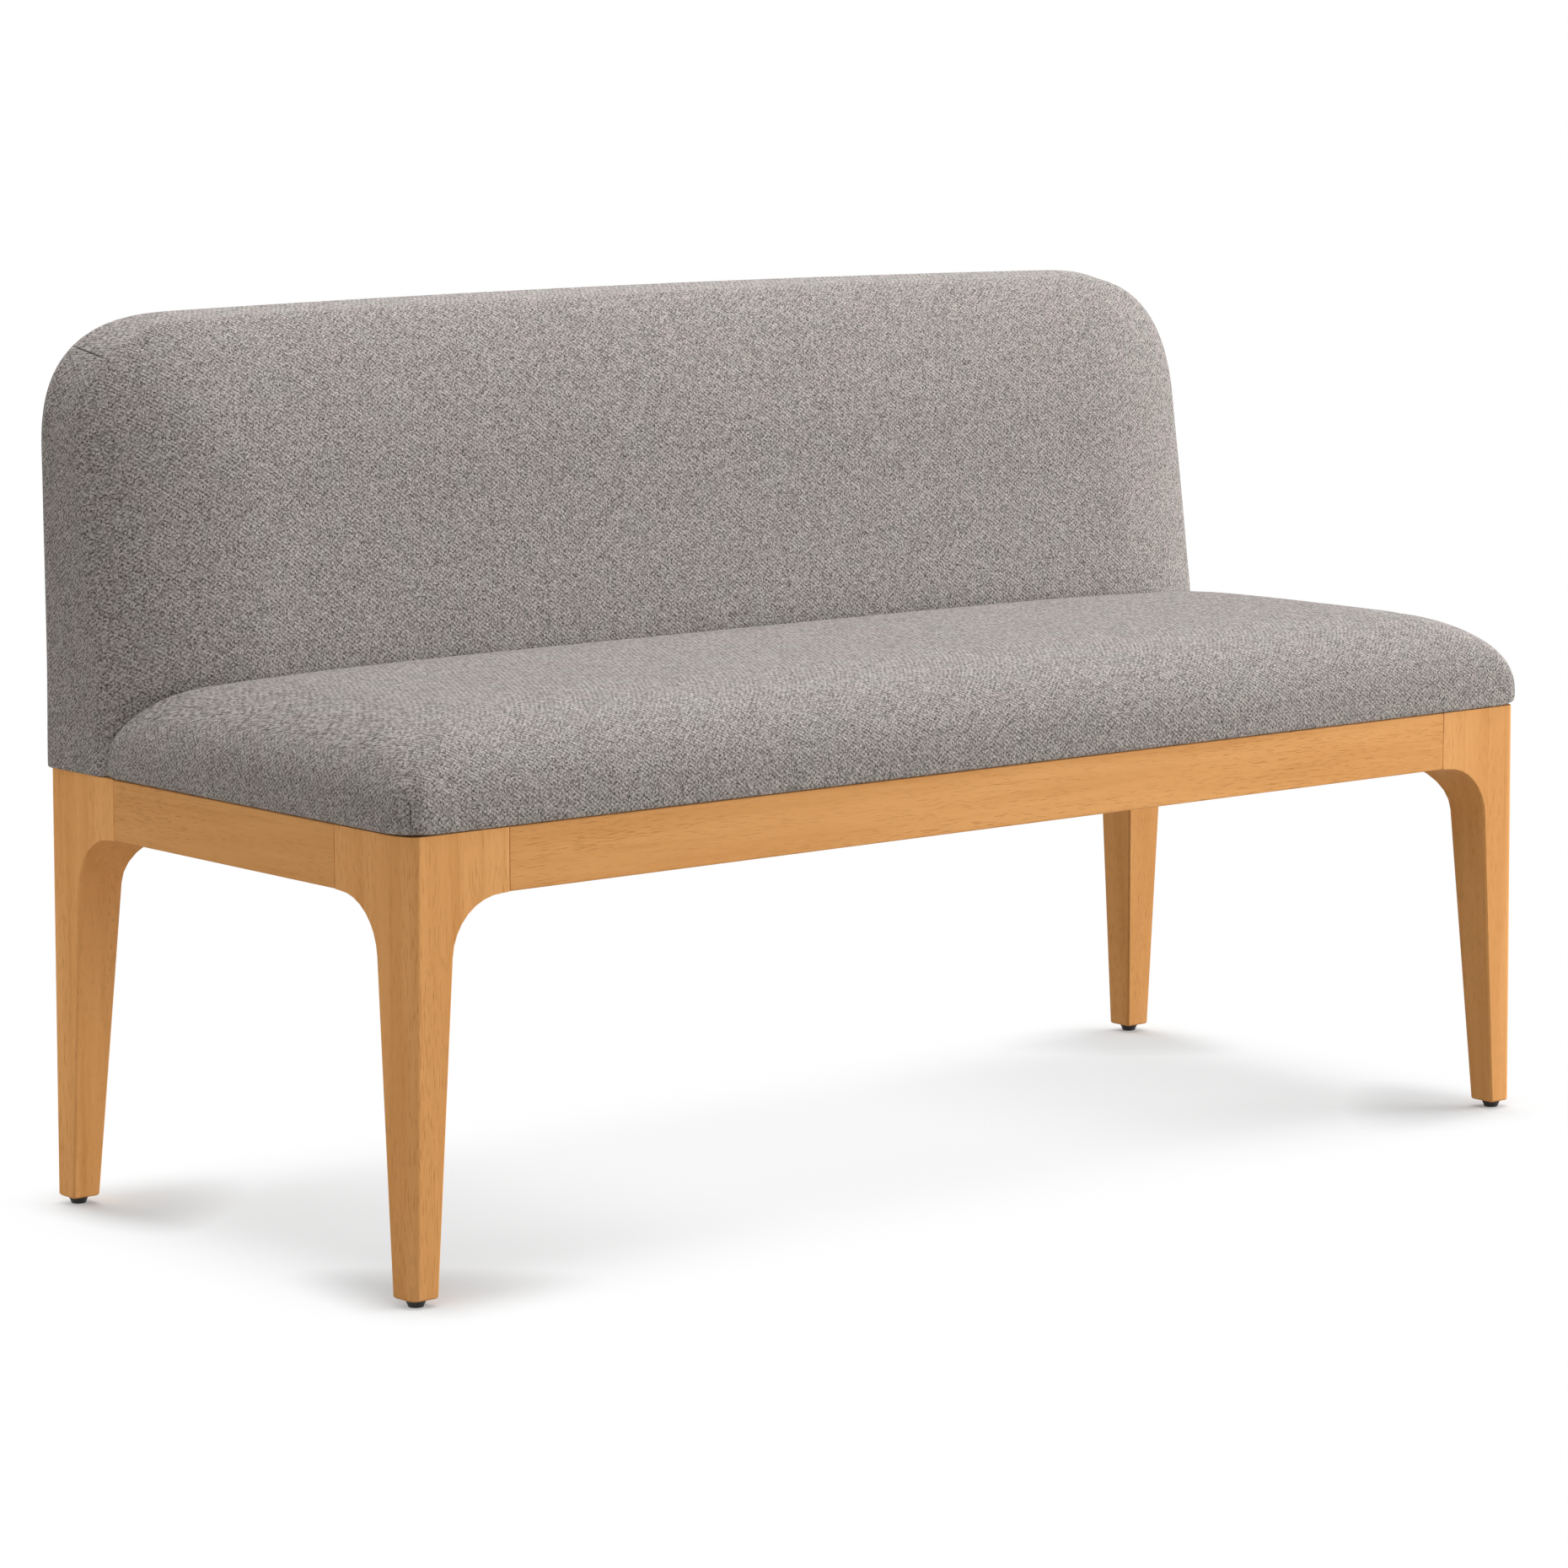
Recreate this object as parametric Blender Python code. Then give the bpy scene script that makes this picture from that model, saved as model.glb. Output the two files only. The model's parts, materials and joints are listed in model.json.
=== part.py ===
"""Upholstered dining banquette: a padded seat and back on a wooden frame with bracket legs.

Metres, +Z up. The origin is on the floor under the middle of the frame. The front faces -Y,
and left is -X, as seen by someone who stands in front of the bench.
"""

import math

import bmesh
import bpy
from mathutils import Vector

# Fits between pieces that touch
FIT = 0.0003
SOFT_FIT = 0.0006

# Wooden frame
FRAME_WIDTH = 1.320
FRAME_DEPTH = 0.542
FRAME_TOP = 0.395
RAIL_HEIGHT = 0.0543
RAIL_THICKNESS = 0.025
RAIL_EASE = 0.001
TENON_LENGTH = 0.028
TENON_THICKNESS = 0.010
TENON_HEIGHT = 0.034

# Legs: square in section, outer faces upright, inner faces tapered, bracket curve under the head
LEG_HEAD = 0.104
LEG_WAIST = 0.049
FOOT_SIZE = 0.028
BRACKET_RADIUS = 0.052
BRACKET_LIP = 0.0004
FRONT_CORNER_TOP_WIDTH = 0.009
FRONT_CORNER_TOP_DEPTH = 0.034
FRONT_CORNER_FOOT_WIDTH = 0.006
FRONT_CORNER_FOOT_DEPTH = 0.012
REAR_CORNER_TOP_RADIUS = 0.009
REAR_CORNER_FOOT_RADIUS = 0.006
LEG_EASE = 0.0016
SEAM_EASE = 0.0005
FOOT_CHAMFER = 0.0015
BRACKET_SEGMENTS = 8
LEG_CORNER_SEGMENTS = 8

# Inside of the frame
HEAD_CUT = 0.040
HEAD_FLOOR = 0.011
BLOCK_THICKNESS = 0.030
BLOCK_HEIGHT = 0.038
BLOCK_DROP = 0.002
CENTRE_RAIL_WIDTH = 0.025
CENTRE_RAIL_HEIGHT = 0.040
HOUSING_DEPTH = 0.008

# Levelling feet
GLIDE_HEIGHT = 0.007
GLIDE_TOP_RADIUS = 0.0095
GLIDE_FLOOR_RADIUS = 0.0068
GLIDE_EDGE = 0.0012
STEM_RADIUS = 0.003
STEM_LENGTH = 0.018
BUSH_RADIUS = 0.005
BUSH_LENGTH = 0.020

# Bolts and screws
LEG_BOLT_RADIUS = 0.004
LEG_BOLT_GRIP = 0.045
BACK_BOLT_RADIUS = 0.003
BACK_BOLT_RISE = 0.022
INSERT_RADIUS = 0.005
INSERT_LENGTH = 0.015
SCREW_RADIUS = 0.0025
SCREW_GRIP = 0.010
SCREW_EDGE = 0.012
SCREW_TRIES = 40
HEAD_HEIGHT = 0.004
HEAD_OVERHANG = 0.0035
FLANGE_HEIGHT = 0.0012
FLANGE_OVERHANG = 0.0055
ROUND_SEGMENTS = 12

# Upholstery
COVER_THICKNESS = 0.002
COVER_PROUD = 0.0035
SEAT_SIDE_HEIGHT = 0.017
SEAT_RISE = 0.0655
SEAT_CROWN = 0.005
SEAT_CROWN_REACH = 0.100
SEAT_SLOPE_WIDTH = 0.062
SEAT_REAR_SLOPE = 0.009
SEAT_ROUNDNESS = 1.8
SEAT_CORNER_RADIUS = 0.021
SEAT_HEM_CORNER_RADIUS = 0.040
SEAT_REAR_RADIUS = 0.009
SEAT_EDGE_RADIUS = 0.004
SEAT_GAP = 0.0009
HEM_WIDTH = 0.022
DECK_THICKNESS = 0.015
DUST_COVER_THICKNESS = 0.001
SEAT_SLOPE_STEPS = 8
SEAT_CORNER_STEPS = 7
SEAT_REAR_STEPS = 2
SEAT_SIDE_STEPS = 3
SEAT_LONG_STEPS = 8

# Back
BACK_TOP = 0.792
BACK_ARCH = 0.008
BACK_THICKNESS = 0.135
BACK_LEAN = 0.150
BACK_LEAN_START = 0.470
BACK_CORNER_RADIUS = 0.146
BACK_CORNER_ROUNDNESS = 3.2
BACK_END_FALL = 0.052
BACK_TOP_FALL = 0.038
BACK_EDGE_ROUNDNESS = 1.6
BACK_EDGE_START = 15
BACK_REAR_RADIUS = 0.009
BACK_BOTTOM_RADIUS = 0.009
BACK_CORNER_STEPS = 12
BACK_BOTTOM_STEPS = 2
BACK_SIDE_STEPS = 4
BACK_LONG_STEPS = 8
BACK_EDGE_STEPS = 6
PANEL_THICKNESS = 0.012
PANEL_INSET = 0.009
WADDING_THICKNESS = 0.0028
POST_WIDTH = 0.044
POST_THICKNESS = 0.030
TOP_RAIL_DROP = 0.017
POST_TOP_THICKNESS = 0.022
POST_GAP = 0.012
TONGUE_LENGTH = 0.046
BACK_RAIL_HEIGHT = 0.030
BACK_RAIL_REACH = 0.090

# Places worked out from the sizes above
HALF_WIDTH = FRAME_WIDTH / 2
HALF_DEPTH = FRAME_DEPTH / 2
RAIL_BOTTOM = FRAME_TOP - RAIL_HEIGHT
RAIL_MIDDLE = FRAME_TOP - RAIL_HEIGHT / 2
HEAD_DIAGONAL = 2 * LEG_HEAD - HEAD_CUT
BLOCK_TOP = FRAME_TOP - BLOCK_DROP
BLOCK_BOTTOM = BLOCK_TOP - BLOCK_HEIGHT
BLOCK_NEAR = HEAD_DIAGONAL + FIT * math.sqrt(2)
BLOCK_FAR = BLOCK_NEAR + BLOCK_THICKNESS * math.sqrt(2)
BLOCK_END = RAIL_THICKNESS + FIT
BLOCK_REACH = BLOCK_FAR - BLOCK_END
BOLT_HEIGHT = (BLOCK_TOP + BLOCK_BOTTOM) / 2
CUSHION_BOTTOM = FRAME_TOP + FIT
BACK_REAR_Y = HALF_DEPTH + COVER_PROUD
BACK_FRONT_Y = BACK_REAR_Y - BACK_THICKNESS
SEAT_REAR_Y = BACK_FRONT_Y - SEAT_GAP
SEAT_FRONT_Y = -HALF_DEPTH - COVER_PROUD
COVER_HALF_WIDTH = HALF_WIDTH + COVER_PROUD
DECK_INSET = SEAT_EDGE_RADIUS + COVER_THICKNESS + SOFT_FIT
DECK_BOTTOM = CUSHION_BOTTOM + COVER_THICKNESS + FIT
DECK_TOP = DECK_BOTTOM + DECK_THICKNESS
PANEL_REAR_Y = BACK_REAR_Y - COVER_THICKNESS - WADDING_THICKNESS - 2 * SOFT_FIT
PANEL_FRONT_Y = PANEL_REAR_Y - PANEL_THICKNESS
POST_REAR_Y = PANEL_FRONT_Y - FIT
POST_FRONT_Y = POST_REAR_Y - POST_THICKNESS
POST_X = HALF_WIDTH - BLOCK_REACH - POST_GAP - POST_WIDTH / 2
POST_TOP = BACK_TOP - TOP_RAIL_DROP - BACK_RAIL_HEIGHT
TONGUE_REAR_Y = HALF_DEPTH - RAIL_THICKNESS - FIT
TONGUE_BOTTOM = FRAME_TOP - TONGUE_LENGTH

CORNERS = {
    "front_left": (-1, -1),
    "front_right": (1, -1),
    "rear_left": (-1, 1),
    "rear_right": (1, 1),
}
SIDES = {"left": -1, "right": 1}


# Small tools

def clear_scene():
    """Remove every object of the scene that the script starts in."""
    for old in list(bpy.data.objects):
        bpy.data.objects.remove(old, do_unlink=True)


def make_material(name, color, roughness, metallic=0.0):
    """A Principled material of one colour."""
    made = bpy.data.materials.new(name)
    made.use_nodes = True
    shader = made.node_tree.nodes["Principled BSDF"]
    shader.inputs["Base Color"].default_value = (*color, 1.0)
    shader.inputs["Roughness"].default_value = roughness
    shader.inputs["Metallic"].default_value = metallic
    return made


def add_object(name, bm, finish=None, location=(0, 0, 0), smooth_angle=35):
    """Turn a bmesh into a named object under the banquette's empty."""
    bmesh.ops.recalc_face_normals(bm, faces=bm.faces)
    mesh = bpy.data.meshes.new(name)
    bm.to_mesh(mesh)
    bm.free()
    mesh.shade_smooth()
    mesh.set_sharp_from_angle(angle=math.radians(smooth_angle))
    made = bpy.data.objects.new(name, mesh)
    bpy.context.collection.objects.link(made)
    made.location = location
    made.parent = ROOT
    if finish:
        mesh.materials.append(finish)
    return made


def loft(rings):
    """A closed skin through rings of equal point counts, with a face across each end."""
    bm = bmesh.new()
    levels = [[bm.verts.new(point) for point in ring] for ring in rings]
    count = len(rings[0])
    for lower, upper in zip(levels, levels[1:]):
        for i in range(count):
            j = (i + 1) % count
            bm.faces.new((lower[i], lower[j], upper[j], upper[i]))
    bm.faces.new(levels[0])
    bm.faces.new(levels[-1])
    bmesh.ops.remove_doubles(bm, verts=bm.verts, dist=1e-6)
    return bm


def prism(outline, low, high):
    """An outline in the XY plane, raised from low to high."""
    return loft([[(x, y, z) for x, y in outline] for z in (low, high)])


def box(x_range, y_range, z_range):
    """A box between the given ranges."""
    (x0, x1), (y0, y1) = x_range, y_range
    return prism([(x0, y0), (x1, y0), (x1, y1), (x0, y1)], *z_range)


def turned(profile, segments=ROUND_SEGMENTS):
    """A turned piece about Z from (radius, height) pairs."""
    turns = [2 * math.pi * i / segments for i in range(segments)]
    return loft([[(r * math.cos(a), r * math.sin(a), z) for a in turns] for r, z in profile])


def sleeve(outer, bore, low, high):
    """A straight tube about Z."""
    bm = turned([(outer, low), (outer, high), (bore, high), (bore, low)])
    ends = [f for f in bm.faces if len(f.verts) == ROUND_SEGMENTS]
    bmesh.ops.delete(bm, geom=ends, context="FACES_ONLY")
    bmesh.ops.bridge_loops(bm, edges=[e for e in bm.edges if e.is_boundary])
    return bm


def arc(centre, radius, start, end, segments):
    """Points of an arc in a plane, angles in degrees."""
    angles = [math.radians(start + (end - start) * i / segments) for i in range(segments + 1)]
    return [(centre[0] + radius * math.cos(a), centre[1] + radius * math.sin(a)) for a in angles]


def straight(start, end, segments):
    """Points between two ends, the ends themselves left out."""
    steps = [i / segments for i in range(1, segments)]
    return [(start[0] + (end[0] - start[0]) * t, start[1] + (end[1] - start[1]) * t) for t in steps]


def cut(target, bm, name, location=(0, 0, 0), rotation=None):
    """Cut a shape out of an object with a Boolean."""
    tool = add_object(name, bm, location=location)
    if rotation:
        tool.rotation_euler = rotation
    tool.hide_render = True
    tool.display_type = "WIRE"
    boolean = target.modifiers.new(name, "BOOLEAN")
    boolean.operation = "DIFFERENCE"
    boolean.object = tool


def shrink(bm, distance):
    """Move every point of a closed skin inwards by the same distance."""
    bmesh.ops.recalc_face_normals(bm, faces=bm.faces)
    bm.normal_update()
    moves = [(v, v.normal * distance * v.calc_shell_factor()) for v in bm.verts]
    for vertex, move in moves:
        vertex.co -= move


def keep_side(bm, point, normal):
    """Cut a closed skin with a plane, keep what lies ahead of it and close the cut."""
    whole = bm.verts[:] + bm.edges[:] + bm.faces[:]
    made = bmesh.ops.bisect_plane(
        bm, geom=whole, plane_co=point, plane_no=normal, clear_inner=True, dist=1e-6
    )
    rim = [part for part in made["geom_cut"] if isinstance(part, bmesh.types.BMEdge)]
    bmesh.ops.contextual_create(bm, geom=rim)


def at_corner(corner, u, v):
    """Place of a point that lies u and v inside a corner's outer faces."""
    side, end = CORNERS[corner]
    return Vector((side * (HALF_WIDTH - u), end * (HALF_DEPTH - v), 0))


def towards_corner(corner):
    """Rotation that turns +Z to the level diagonal pointing out of a corner."""
    side, end = CORNERS[corner]
    return Vector((side, end, 0)).to_track_quat("Z", "Y").to_euler()


# Wooden frame

def taper_width(z):
    """Width of the tapered leg at a height, before the bracket curve."""
    return FOOT_SIZE + (LEG_WAIST - FOOT_SIZE) * (z - GLIDE_HEIGHT) / (RAIL_BOTTOM - GLIDE_HEIGHT)


def bracket_profile():
    """Width and height pairs up the inner face of a leg, from the foot to the top of the head."""
    lean = math.atan((LEG_WAIST - FOOT_SIZE) / (RAIL_BOTTOM - GLIDE_HEIGHT))
    centre_z = RAIL_BOTTOM - BRACKET_LIP - BRACKET_RADIUS
    centre_w = taper_width(centre_z) + BRACKET_RADIUS / math.cos(lean)
    curve = arc((centre_w, centre_z), BRACKET_RADIUS, 180 - math.degrees(lean), 90, BRACKET_SEGMENTS)
    foot_top = GLIDE_HEIGHT + FOOT_CHAMFER
    return [(taper_width(foot_top), foot_top), *curve, (LEG_HEAD, RAIL_BOTTOM), (LEG_HEAD, FRAME_TOP)]


def leg_section(width, ease, corner_width, corner_depth):
    """Plan of a leg: two eased free edges, the eased inner arris and the rounded outer corner."""
    inner = width - ease
    edges = [(inner, 0), (width, ease), (width, inner), (inner, width), (ease, width), (0, inner)]
    quarter = arc((1, 1), 1, 180, 270, LEG_CORNER_SEGMENTS)
    return edges + [(corner_width * a, corner_depth * b) for a, b in quarter]


def leg_mesh(corner):
    """Leg as a loft of square sections, in the space of its outer corner on the floor."""
    side, end = CORNERS[corner]
    if end < 0:
        top = (FRONT_CORNER_TOP_WIDTH, FRONT_CORNER_TOP_DEPTH)
        foot = (FRONT_CORNER_FOOT_WIDTH, FRONT_CORNER_FOOT_DEPTH)
    else:
        top = (REAR_CORNER_TOP_RADIUS, REAR_CORNER_TOP_RADIUS)
        foot = (REAR_CORNER_FOOT_RADIUS, REAR_CORNER_FOOT_RADIUS)

    def corner_sizes(z):
        share = (z - GLIDE_HEIGHT) / (FRAME_TOP - GLIDE_HEIGHT)
        return [low + (high - low) * share for low, high in zip(foot, top)]

    profile = bracket_profile()
    levels = []
    for width, z in profile:
        ease = SEAM_EASE if z > RAIL_BOTTOM - FIT else LEG_EASE
        levels.append((leg_section(width, ease, *corner_sizes(z)), z))
    shrunk = 1 - 2 * FOOT_CHAMFER / profile[0][0]
    sole = [(FOOT_CHAMFER + u * shrunk, FOOT_CHAMFER + v * shrunk) for u, v in levels[0][0]]
    levels.insert(0, (sole, GLIDE_HEIGHT))
    return loft([[(-side * u, -end * v, z) for u, v in section] for section, z in levels])


def mortise(corner, along_x):
    """Space for a rail's tenon in a leg head, along X for the front and rear rails."""
    side, end = CORNERS[corner]
    deep = (LEG_HEAD - TENON_LENGTH - FIT, LEG_HEAD + RAIL_EASE)
    across_middle = RAIL_THICKNESS / 2
    half = TENON_THICKNESS / 2 + FIT
    across = (across_middle - half, across_middle + half)
    u_range, v_range = (deep, across) if along_x else (across, deep)
    z_half = TENON_HEIGHT / 2 + FIT
    x_range = [-side * u for u in u_range]
    y_range = [-end * v for v in v_range]
    return box(x_range, y_range, (RAIL_MIDDLE - z_half, RAIL_MIDDLE + z_half))


def make_leg(corner):
    """One leg with its mortises, the cut for the corner block, the bolt hole and the bush hole."""
    side, end = CORNERS[corner]
    place = at_corner(corner, 0, 0)
    row, flank = corner.split("_")
    leg = add_object(f"{row}_leg_{flank}", leg_mesh(corner), WOOD, place)
    cut(leg, mortise(corner, True), f"{corner}_long_mortise", place)
    cut(leg, mortise(corner, False), f"{corner}_side_mortise", place)

    past = LEG_HEAD + HEAD_CUT / 2
    near = HEAD_DIAGONAL - past
    triangle = [(near, past), (past, near), (past, past)]
    notch = [(-side * u, -end * v) for u, v in triangle]
    cut(leg, prism(notch, RAIL_BOTTOM + HEAD_FLOOR, FRAME_TOP + HEAD_FLOOR), f"{corner}_head_cut", place)

    hole = turned([(LEG_BOLT_RADIUS + FIT, -HEAD_HEIGHT), (LEG_BOLT_RADIUS + FIT, LEG_BOLT_GRIP + FIT)])
    mouth = at_corner(corner, HEAD_DIAGONAL / 2, HEAD_DIAGONAL / 2) + Vector((0, 0, BOLT_HEIGHT))
    cut(leg, hole, f"{corner}_leg_bolt_hole", mouth, towards_corner(corner))

    socket_depth = GLIDE_HEIGHT + BUSH_LENGTH + FIT
    socket = turned([(BUSH_RADIUS + FIT, GLIDE_HEIGHT - FOOT_CHAMFER), (BUSH_RADIUS + FIT, socket_depth)])
    cut(leg, socket, f"{corner}_bush_hole", foot_centre(corner))


def foot_centre(corner):
    """Point on the floor under the middle of a foot."""
    return at_corner(corner, FOOT_SIZE / 2, FOOT_SIZE / 2)


def rail_section(x, width, height, ease):
    """Eased rectangle across a rail at x."""
    y, z = width / 2, height / 2
    corners = [(-y + ease, -z), (y - ease, -z), (y, -z + ease), (y, z - ease)]
    corners += [(y - ease, z), (-y + ease, z), (-y, z - ease), (-y, -z + ease)]
    return [(x, a, b) for a, b in corners]


def rail_mesh(clear_length):
    """Rail along X between two leg heads, with a tenon at each end."""
    shoulder = clear_length / 2 - FIT
    tip = shoulder + TENON_LENGTH
    rings = []
    for x in (-tip, -shoulder, shoulder, tip):
        tenon = rail_section(x, TENON_THICKNESS, TENON_HEIGHT, RAIL_EASE)
        body = rail_section(x, RAIL_THICKNESS, RAIL_HEIGHT, RAIL_EASE)
        if abs(x) == tip:
            rings.append(tenon)
        else:
            rings += [tenon, body] if x < 0 else [body, tenon]
    return loft(rings)


def make_rails():
    """The four rails of the frame and the cross bar under the seat."""
    long_clear = FRAME_WIDTH - 2 * LEG_HEAD
    side_clear = FRAME_DEPTH - 2 * LEG_HEAD
    across = HALF_DEPTH - RAIL_THICKNESS / 2
    inner = HALF_DEPTH - RAIL_THICKNESS
    half_housing = CENTRE_RAIL_WIDTH / 2 + FIT
    housing_floor = FRAME_TOP - CENTRE_RAIL_HEIGHT - FIT
    for name, end in (("front", -1), ("rear", 1)):
        rail = add_object(f"{name}_rail", rail_mesh(long_clear), WOOD, (0, end * across, RAIL_MIDDLE))
        reach = [end * (inner - RAIL_THICKNESS), end * (inner + HOUSING_DEPTH)]
        housing = box((-half_housing, half_housing), reach, (housing_floor, FRAME_TOP + HOUSING_DEPTH))
        cut(rail, housing, f"{name}_housing")
        if name == "rear":
            bore = INSERT_RADIUS + FIT
            for label, x, z in back_bolt_places():
                drill = turned([(bore, -INSERT_LENGTH), (bore, INSERT_LENGTH + FIT)])
                cut(rail, drill, f"insert_hole_{label}", (x, inner, z), TOWARDS_REAR)
    for name, side in SIDES.items():
        place = (side * (HALF_WIDTH - RAIL_THICKNESS / 2), 0, RAIL_MIDDLE)
        rail = add_object(f"side_rail_{name}", rail_mesh(side_clear), WOOD, place)
        rail.rotation_euler = (0, 0, math.pi / 2)

    half_length = inner + HOUSING_DEPTH - FIT
    stretch = (-half_length, half_length)
    ends = [rail_section(x, CENTRE_RAIL_WIDTH, CENTRE_RAIL_HEIGHT, RAIL_EASE) for x in stretch]
    bar = add_object("centre_rail", loft(ends), HIDDEN_WOOD, (0, 0, FRAME_TOP - CENTRE_RAIL_HEIGHT / 2))
    bar.rotation_euler = (0, 0, math.pi / 2)


def screw_reach():
    """Distances of a rear seat screw from the frame's side and rear, clear of the seat's curved hem."""
    middle = (BLOCK_NEAR + BLOCK_FAR) / 2
    far = middle / 2
    for _ in range(SCREW_TRIES):
        far = HALF_DEPTH - seat_rear_y(HALF_WIDTH - middle + far) + HEM_WIDTH + SCREW_EDGE
    return middle - far, far


def screw_place(corner):
    """Point above which a seat screw stands in a corner block."""
    near, far = screw_reach()
    if CORNERS[corner][1] < 0:
        return at_corner(corner, far, near)
    return at_corner(corner, near, far)


def make_corner_block(corner):
    """Hardwood block across an inside corner, drilled for the leg bolt and the seat screw."""
    side, end = CORNERS[corner]
    plan = [
        (BLOCK_NEAR - BLOCK_END, BLOCK_END), (BLOCK_REACH, BLOCK_END),
        (BLOCK_END, BLOCK_REACH), (BLOCK_END, BLOCK_NEAR - BLOCK_END),
    ]
    outline = [(-side * u, -end * v) for u, v in plan]
    place = at_corner(corner, 0, 0)
    solid = prism(outline, BLOCK_BOTTOM, BLOCK_TOP)
    block = add_object(f"corner_block_{corner}", solid, HIDDEN_WOOD, place)

    middle = (BLOCK_NEAR + BLOCK_FAR) / 4
    centre = at_corner(corner, middle, middle) + Vector((0, 0, BOLT_HEIGHT))
    bore = LEG_BOLT_RADIUS + FIT
    drill = turned([(bore, -BLOCK_THICKNESS), (bore, BLOCK_THICKNESS)])
    cut(block, drill, f"{corner}_block_bolt_hole", centre, towards_corner(corner))
    bore = SCREW_RADIUS + FIT
    drill = turned([(bore, BLOCK_BOTTOM - HEAD_HEIGHT), (bore, BLOCK_TOP + HEAD_HEIGHT)])
    cut(block, drill, f"{corner}_block_screw_hole", screw_place(corner))


# Fasteners and feet

def bolt_mesh(radius, length, hexagonal):
    """Bolt with its head under z = 0 and its shank up to length."""
    turns = [2 * math.pi * i / ROUND_SEGMENTS for i in range(ROUND_SEGMENTS)]
    flange = radius + FLANGE_OVERHANG
    head = radius + HEAD_OVERHANG

    def ring(size, z, flats=False):
        points = []
        for i, a in enumerate(turns):
            r = size * math.cos(math.pi / 6) if flats and i % 2 else size
            points.append((r * math.cos(a), r * math.sin(a), z))
        return points

    under = -FIT
    return loft([
        ring(head, under - HEAD_HEIGHT, hexagonal),
        ring(head, under - FLANGE_HEIGHT, hexagonal),
        ring(flange, under - FLANGE_HEIGHT),
        ring(flange, under),
        ring(radius, under),
        ring(radius, length - radius / 2),
        ring(radius / 2, length),
    ])


def make_leg_bolt(corner):
    """Bolt from the inside of a corner block into the leg head."""
    face = BLOCK_FAR / 2
    place = at_corner(corner, face, face) + Vector((0, 0, BOLT_HEIGHT))
    bolt = bolt_mesh(LEG_BOLT_RADIUS, BLOCK_THICKNESS + LEG_BOLT_GRIP, True)
    made = add_object(f"leg_bolt_{corner}", bolt, STEEL, place)
    made.rotation_euler = towards_corner(corner)


def make_seat_screw(corner):
    """Screw up through a corner block into the seat deck."""
    length = DECK_BOTTOM - BLOCK_BOTTOM + SCREW_GRIP
    place = screw_place(corner) + Vector((0, 0, BLOCK_BOTTOM))
    add_object(f"seat_screw_{corner}", bolt_mesh(SCREW_RADIUS, length, False), STEEL, place)


def make_leveller(corner):
    """Threaded bush in the foot and the black levelling foot on its stem."""
    place = foot_centre(corner)
    low = GLIDE_HEIGHT + FIT
    high = GLIDE_HEIGHT + BUSH_LENGTH
    bore = STEM_RADIUS + FIT
    add_object(f"leveller_insert_{corner}", sleeve(BUSH_RADIUS, bore, low, high), STEEL, place)

    top = GLIDE_HEIGHT - FIT
    foot = turned([
        (GLIDE_FLOOR_RADIUS, 0),
        (GLIDE_FLOOR_RADIUS + GLIDE_EDGE, GLIDE_EDGE),
        (GLIDE_TOP_RADIUS, top - GLIDE_EDGE),
        (GLIDE_TOP_RADIUS - GLIDE_EDGE / 2, top),
        (STEM_RADIUS, top),
        (STEM_RADIUS, GLIDE_HEIGHT + STEM_LENGTH),
    ], 2 * ROUND_SEGMENTS)
    add_object(f"leveller_{corner}", foot, BLACK, place)


def back_bolt_places():
    """Name, x and z of each bolt through the tongues of the back posts."""
    half = BACK_BOLT_RISE / 2
    rows = (("upper", RAIL_MIDDLE + half), ("lower", RAIL_MIDDLE - half))
    return [(f"{flank}_{row}", side * POST_X, z) for flank, side in SIDES.items() for row, z in rows]


def make_back_bolts():
    """Bolts through the posts and the threaded inserts that hold them in the rear rail."""
    inner = HALF_DEPTH - RAIL_THICKNESS
    tongue = TONGUE_REAR_Y - POST_FRONT_Y
    bore = BACK_BOLT_RADIUS + FIT
    for label, x, z in back_bolt_places():
        insert = sleeve(INSERT_RADIUS, bore, 0, INSERT_LENGTH)
        made = add_object(f"back_insert_{label}", insert, STEEL, (x, inner, z))
        made.rotation_euler = TOWARDS_REAR
        bolt = bolt_mesh(BACK_BOLT_RADIUS, tongue + INSERT_LENGTH - FIT, True)
        made = add_object(f"back_bolt_{label}", bolt, STEEL, (x, POST_FRONT_Y, z))
        made.rotation_euler = TOWARDS_REAR


# Meeting of the seat and the back

def arched(x, z):
    """Height of a point of the back's outline once its top is arched."""
    side_share = max(0, 1 - (x / COVER_HALF_WIDTH) ** 2)
    height_share = min(1, max(0, z - BACK_LEAN_START) / (BACK_TOP - BACK_CORNER_RADIUS - BACK_LEAN_START))
    return z + BACK_ARCH * side_share * height_share


def edge_shares():
    """Shares of the way from the flat front of the back to its rim, one for each ring of the edge."""
    step = (90 - BACK_EDGE_START) / BACK_EDGE_STEPS
    turns = [math.radians(BACK_EDGE_START + step * i) for i in range(BACK_EDGE_STEPS + 1)]
    return [math.sin(turn) ** (2 / BACK_EDGE_ROUNDNESS) for turn in turns]


def edge_fall(x, z):
    """How far the front of the back falls away towards its ends and its top."""
    power = BACK_CORNER_ROUNDNESS
    beside = max(0, 1 - (COVER_HALF_WIDTH - abs(x)) / BACK_CORNER_RADIUS) ** power
    above = max(0, 1 - (arched(x, BACK_TOP) - z) / BACK_CORNER_RADIUS) ** power
    both = beside + above
    if both == 0:
        return 0
    depth = (BACK_END_FALL * beside + BACK_TOP_FALL * above) / both
    share = min(1, both) ** (BACK_EDGE_ROUNDNESS / power)
    return depth * (1 - (1 - share) ** (1 / BACK_EDGE_ROUNDNESS))


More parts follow.
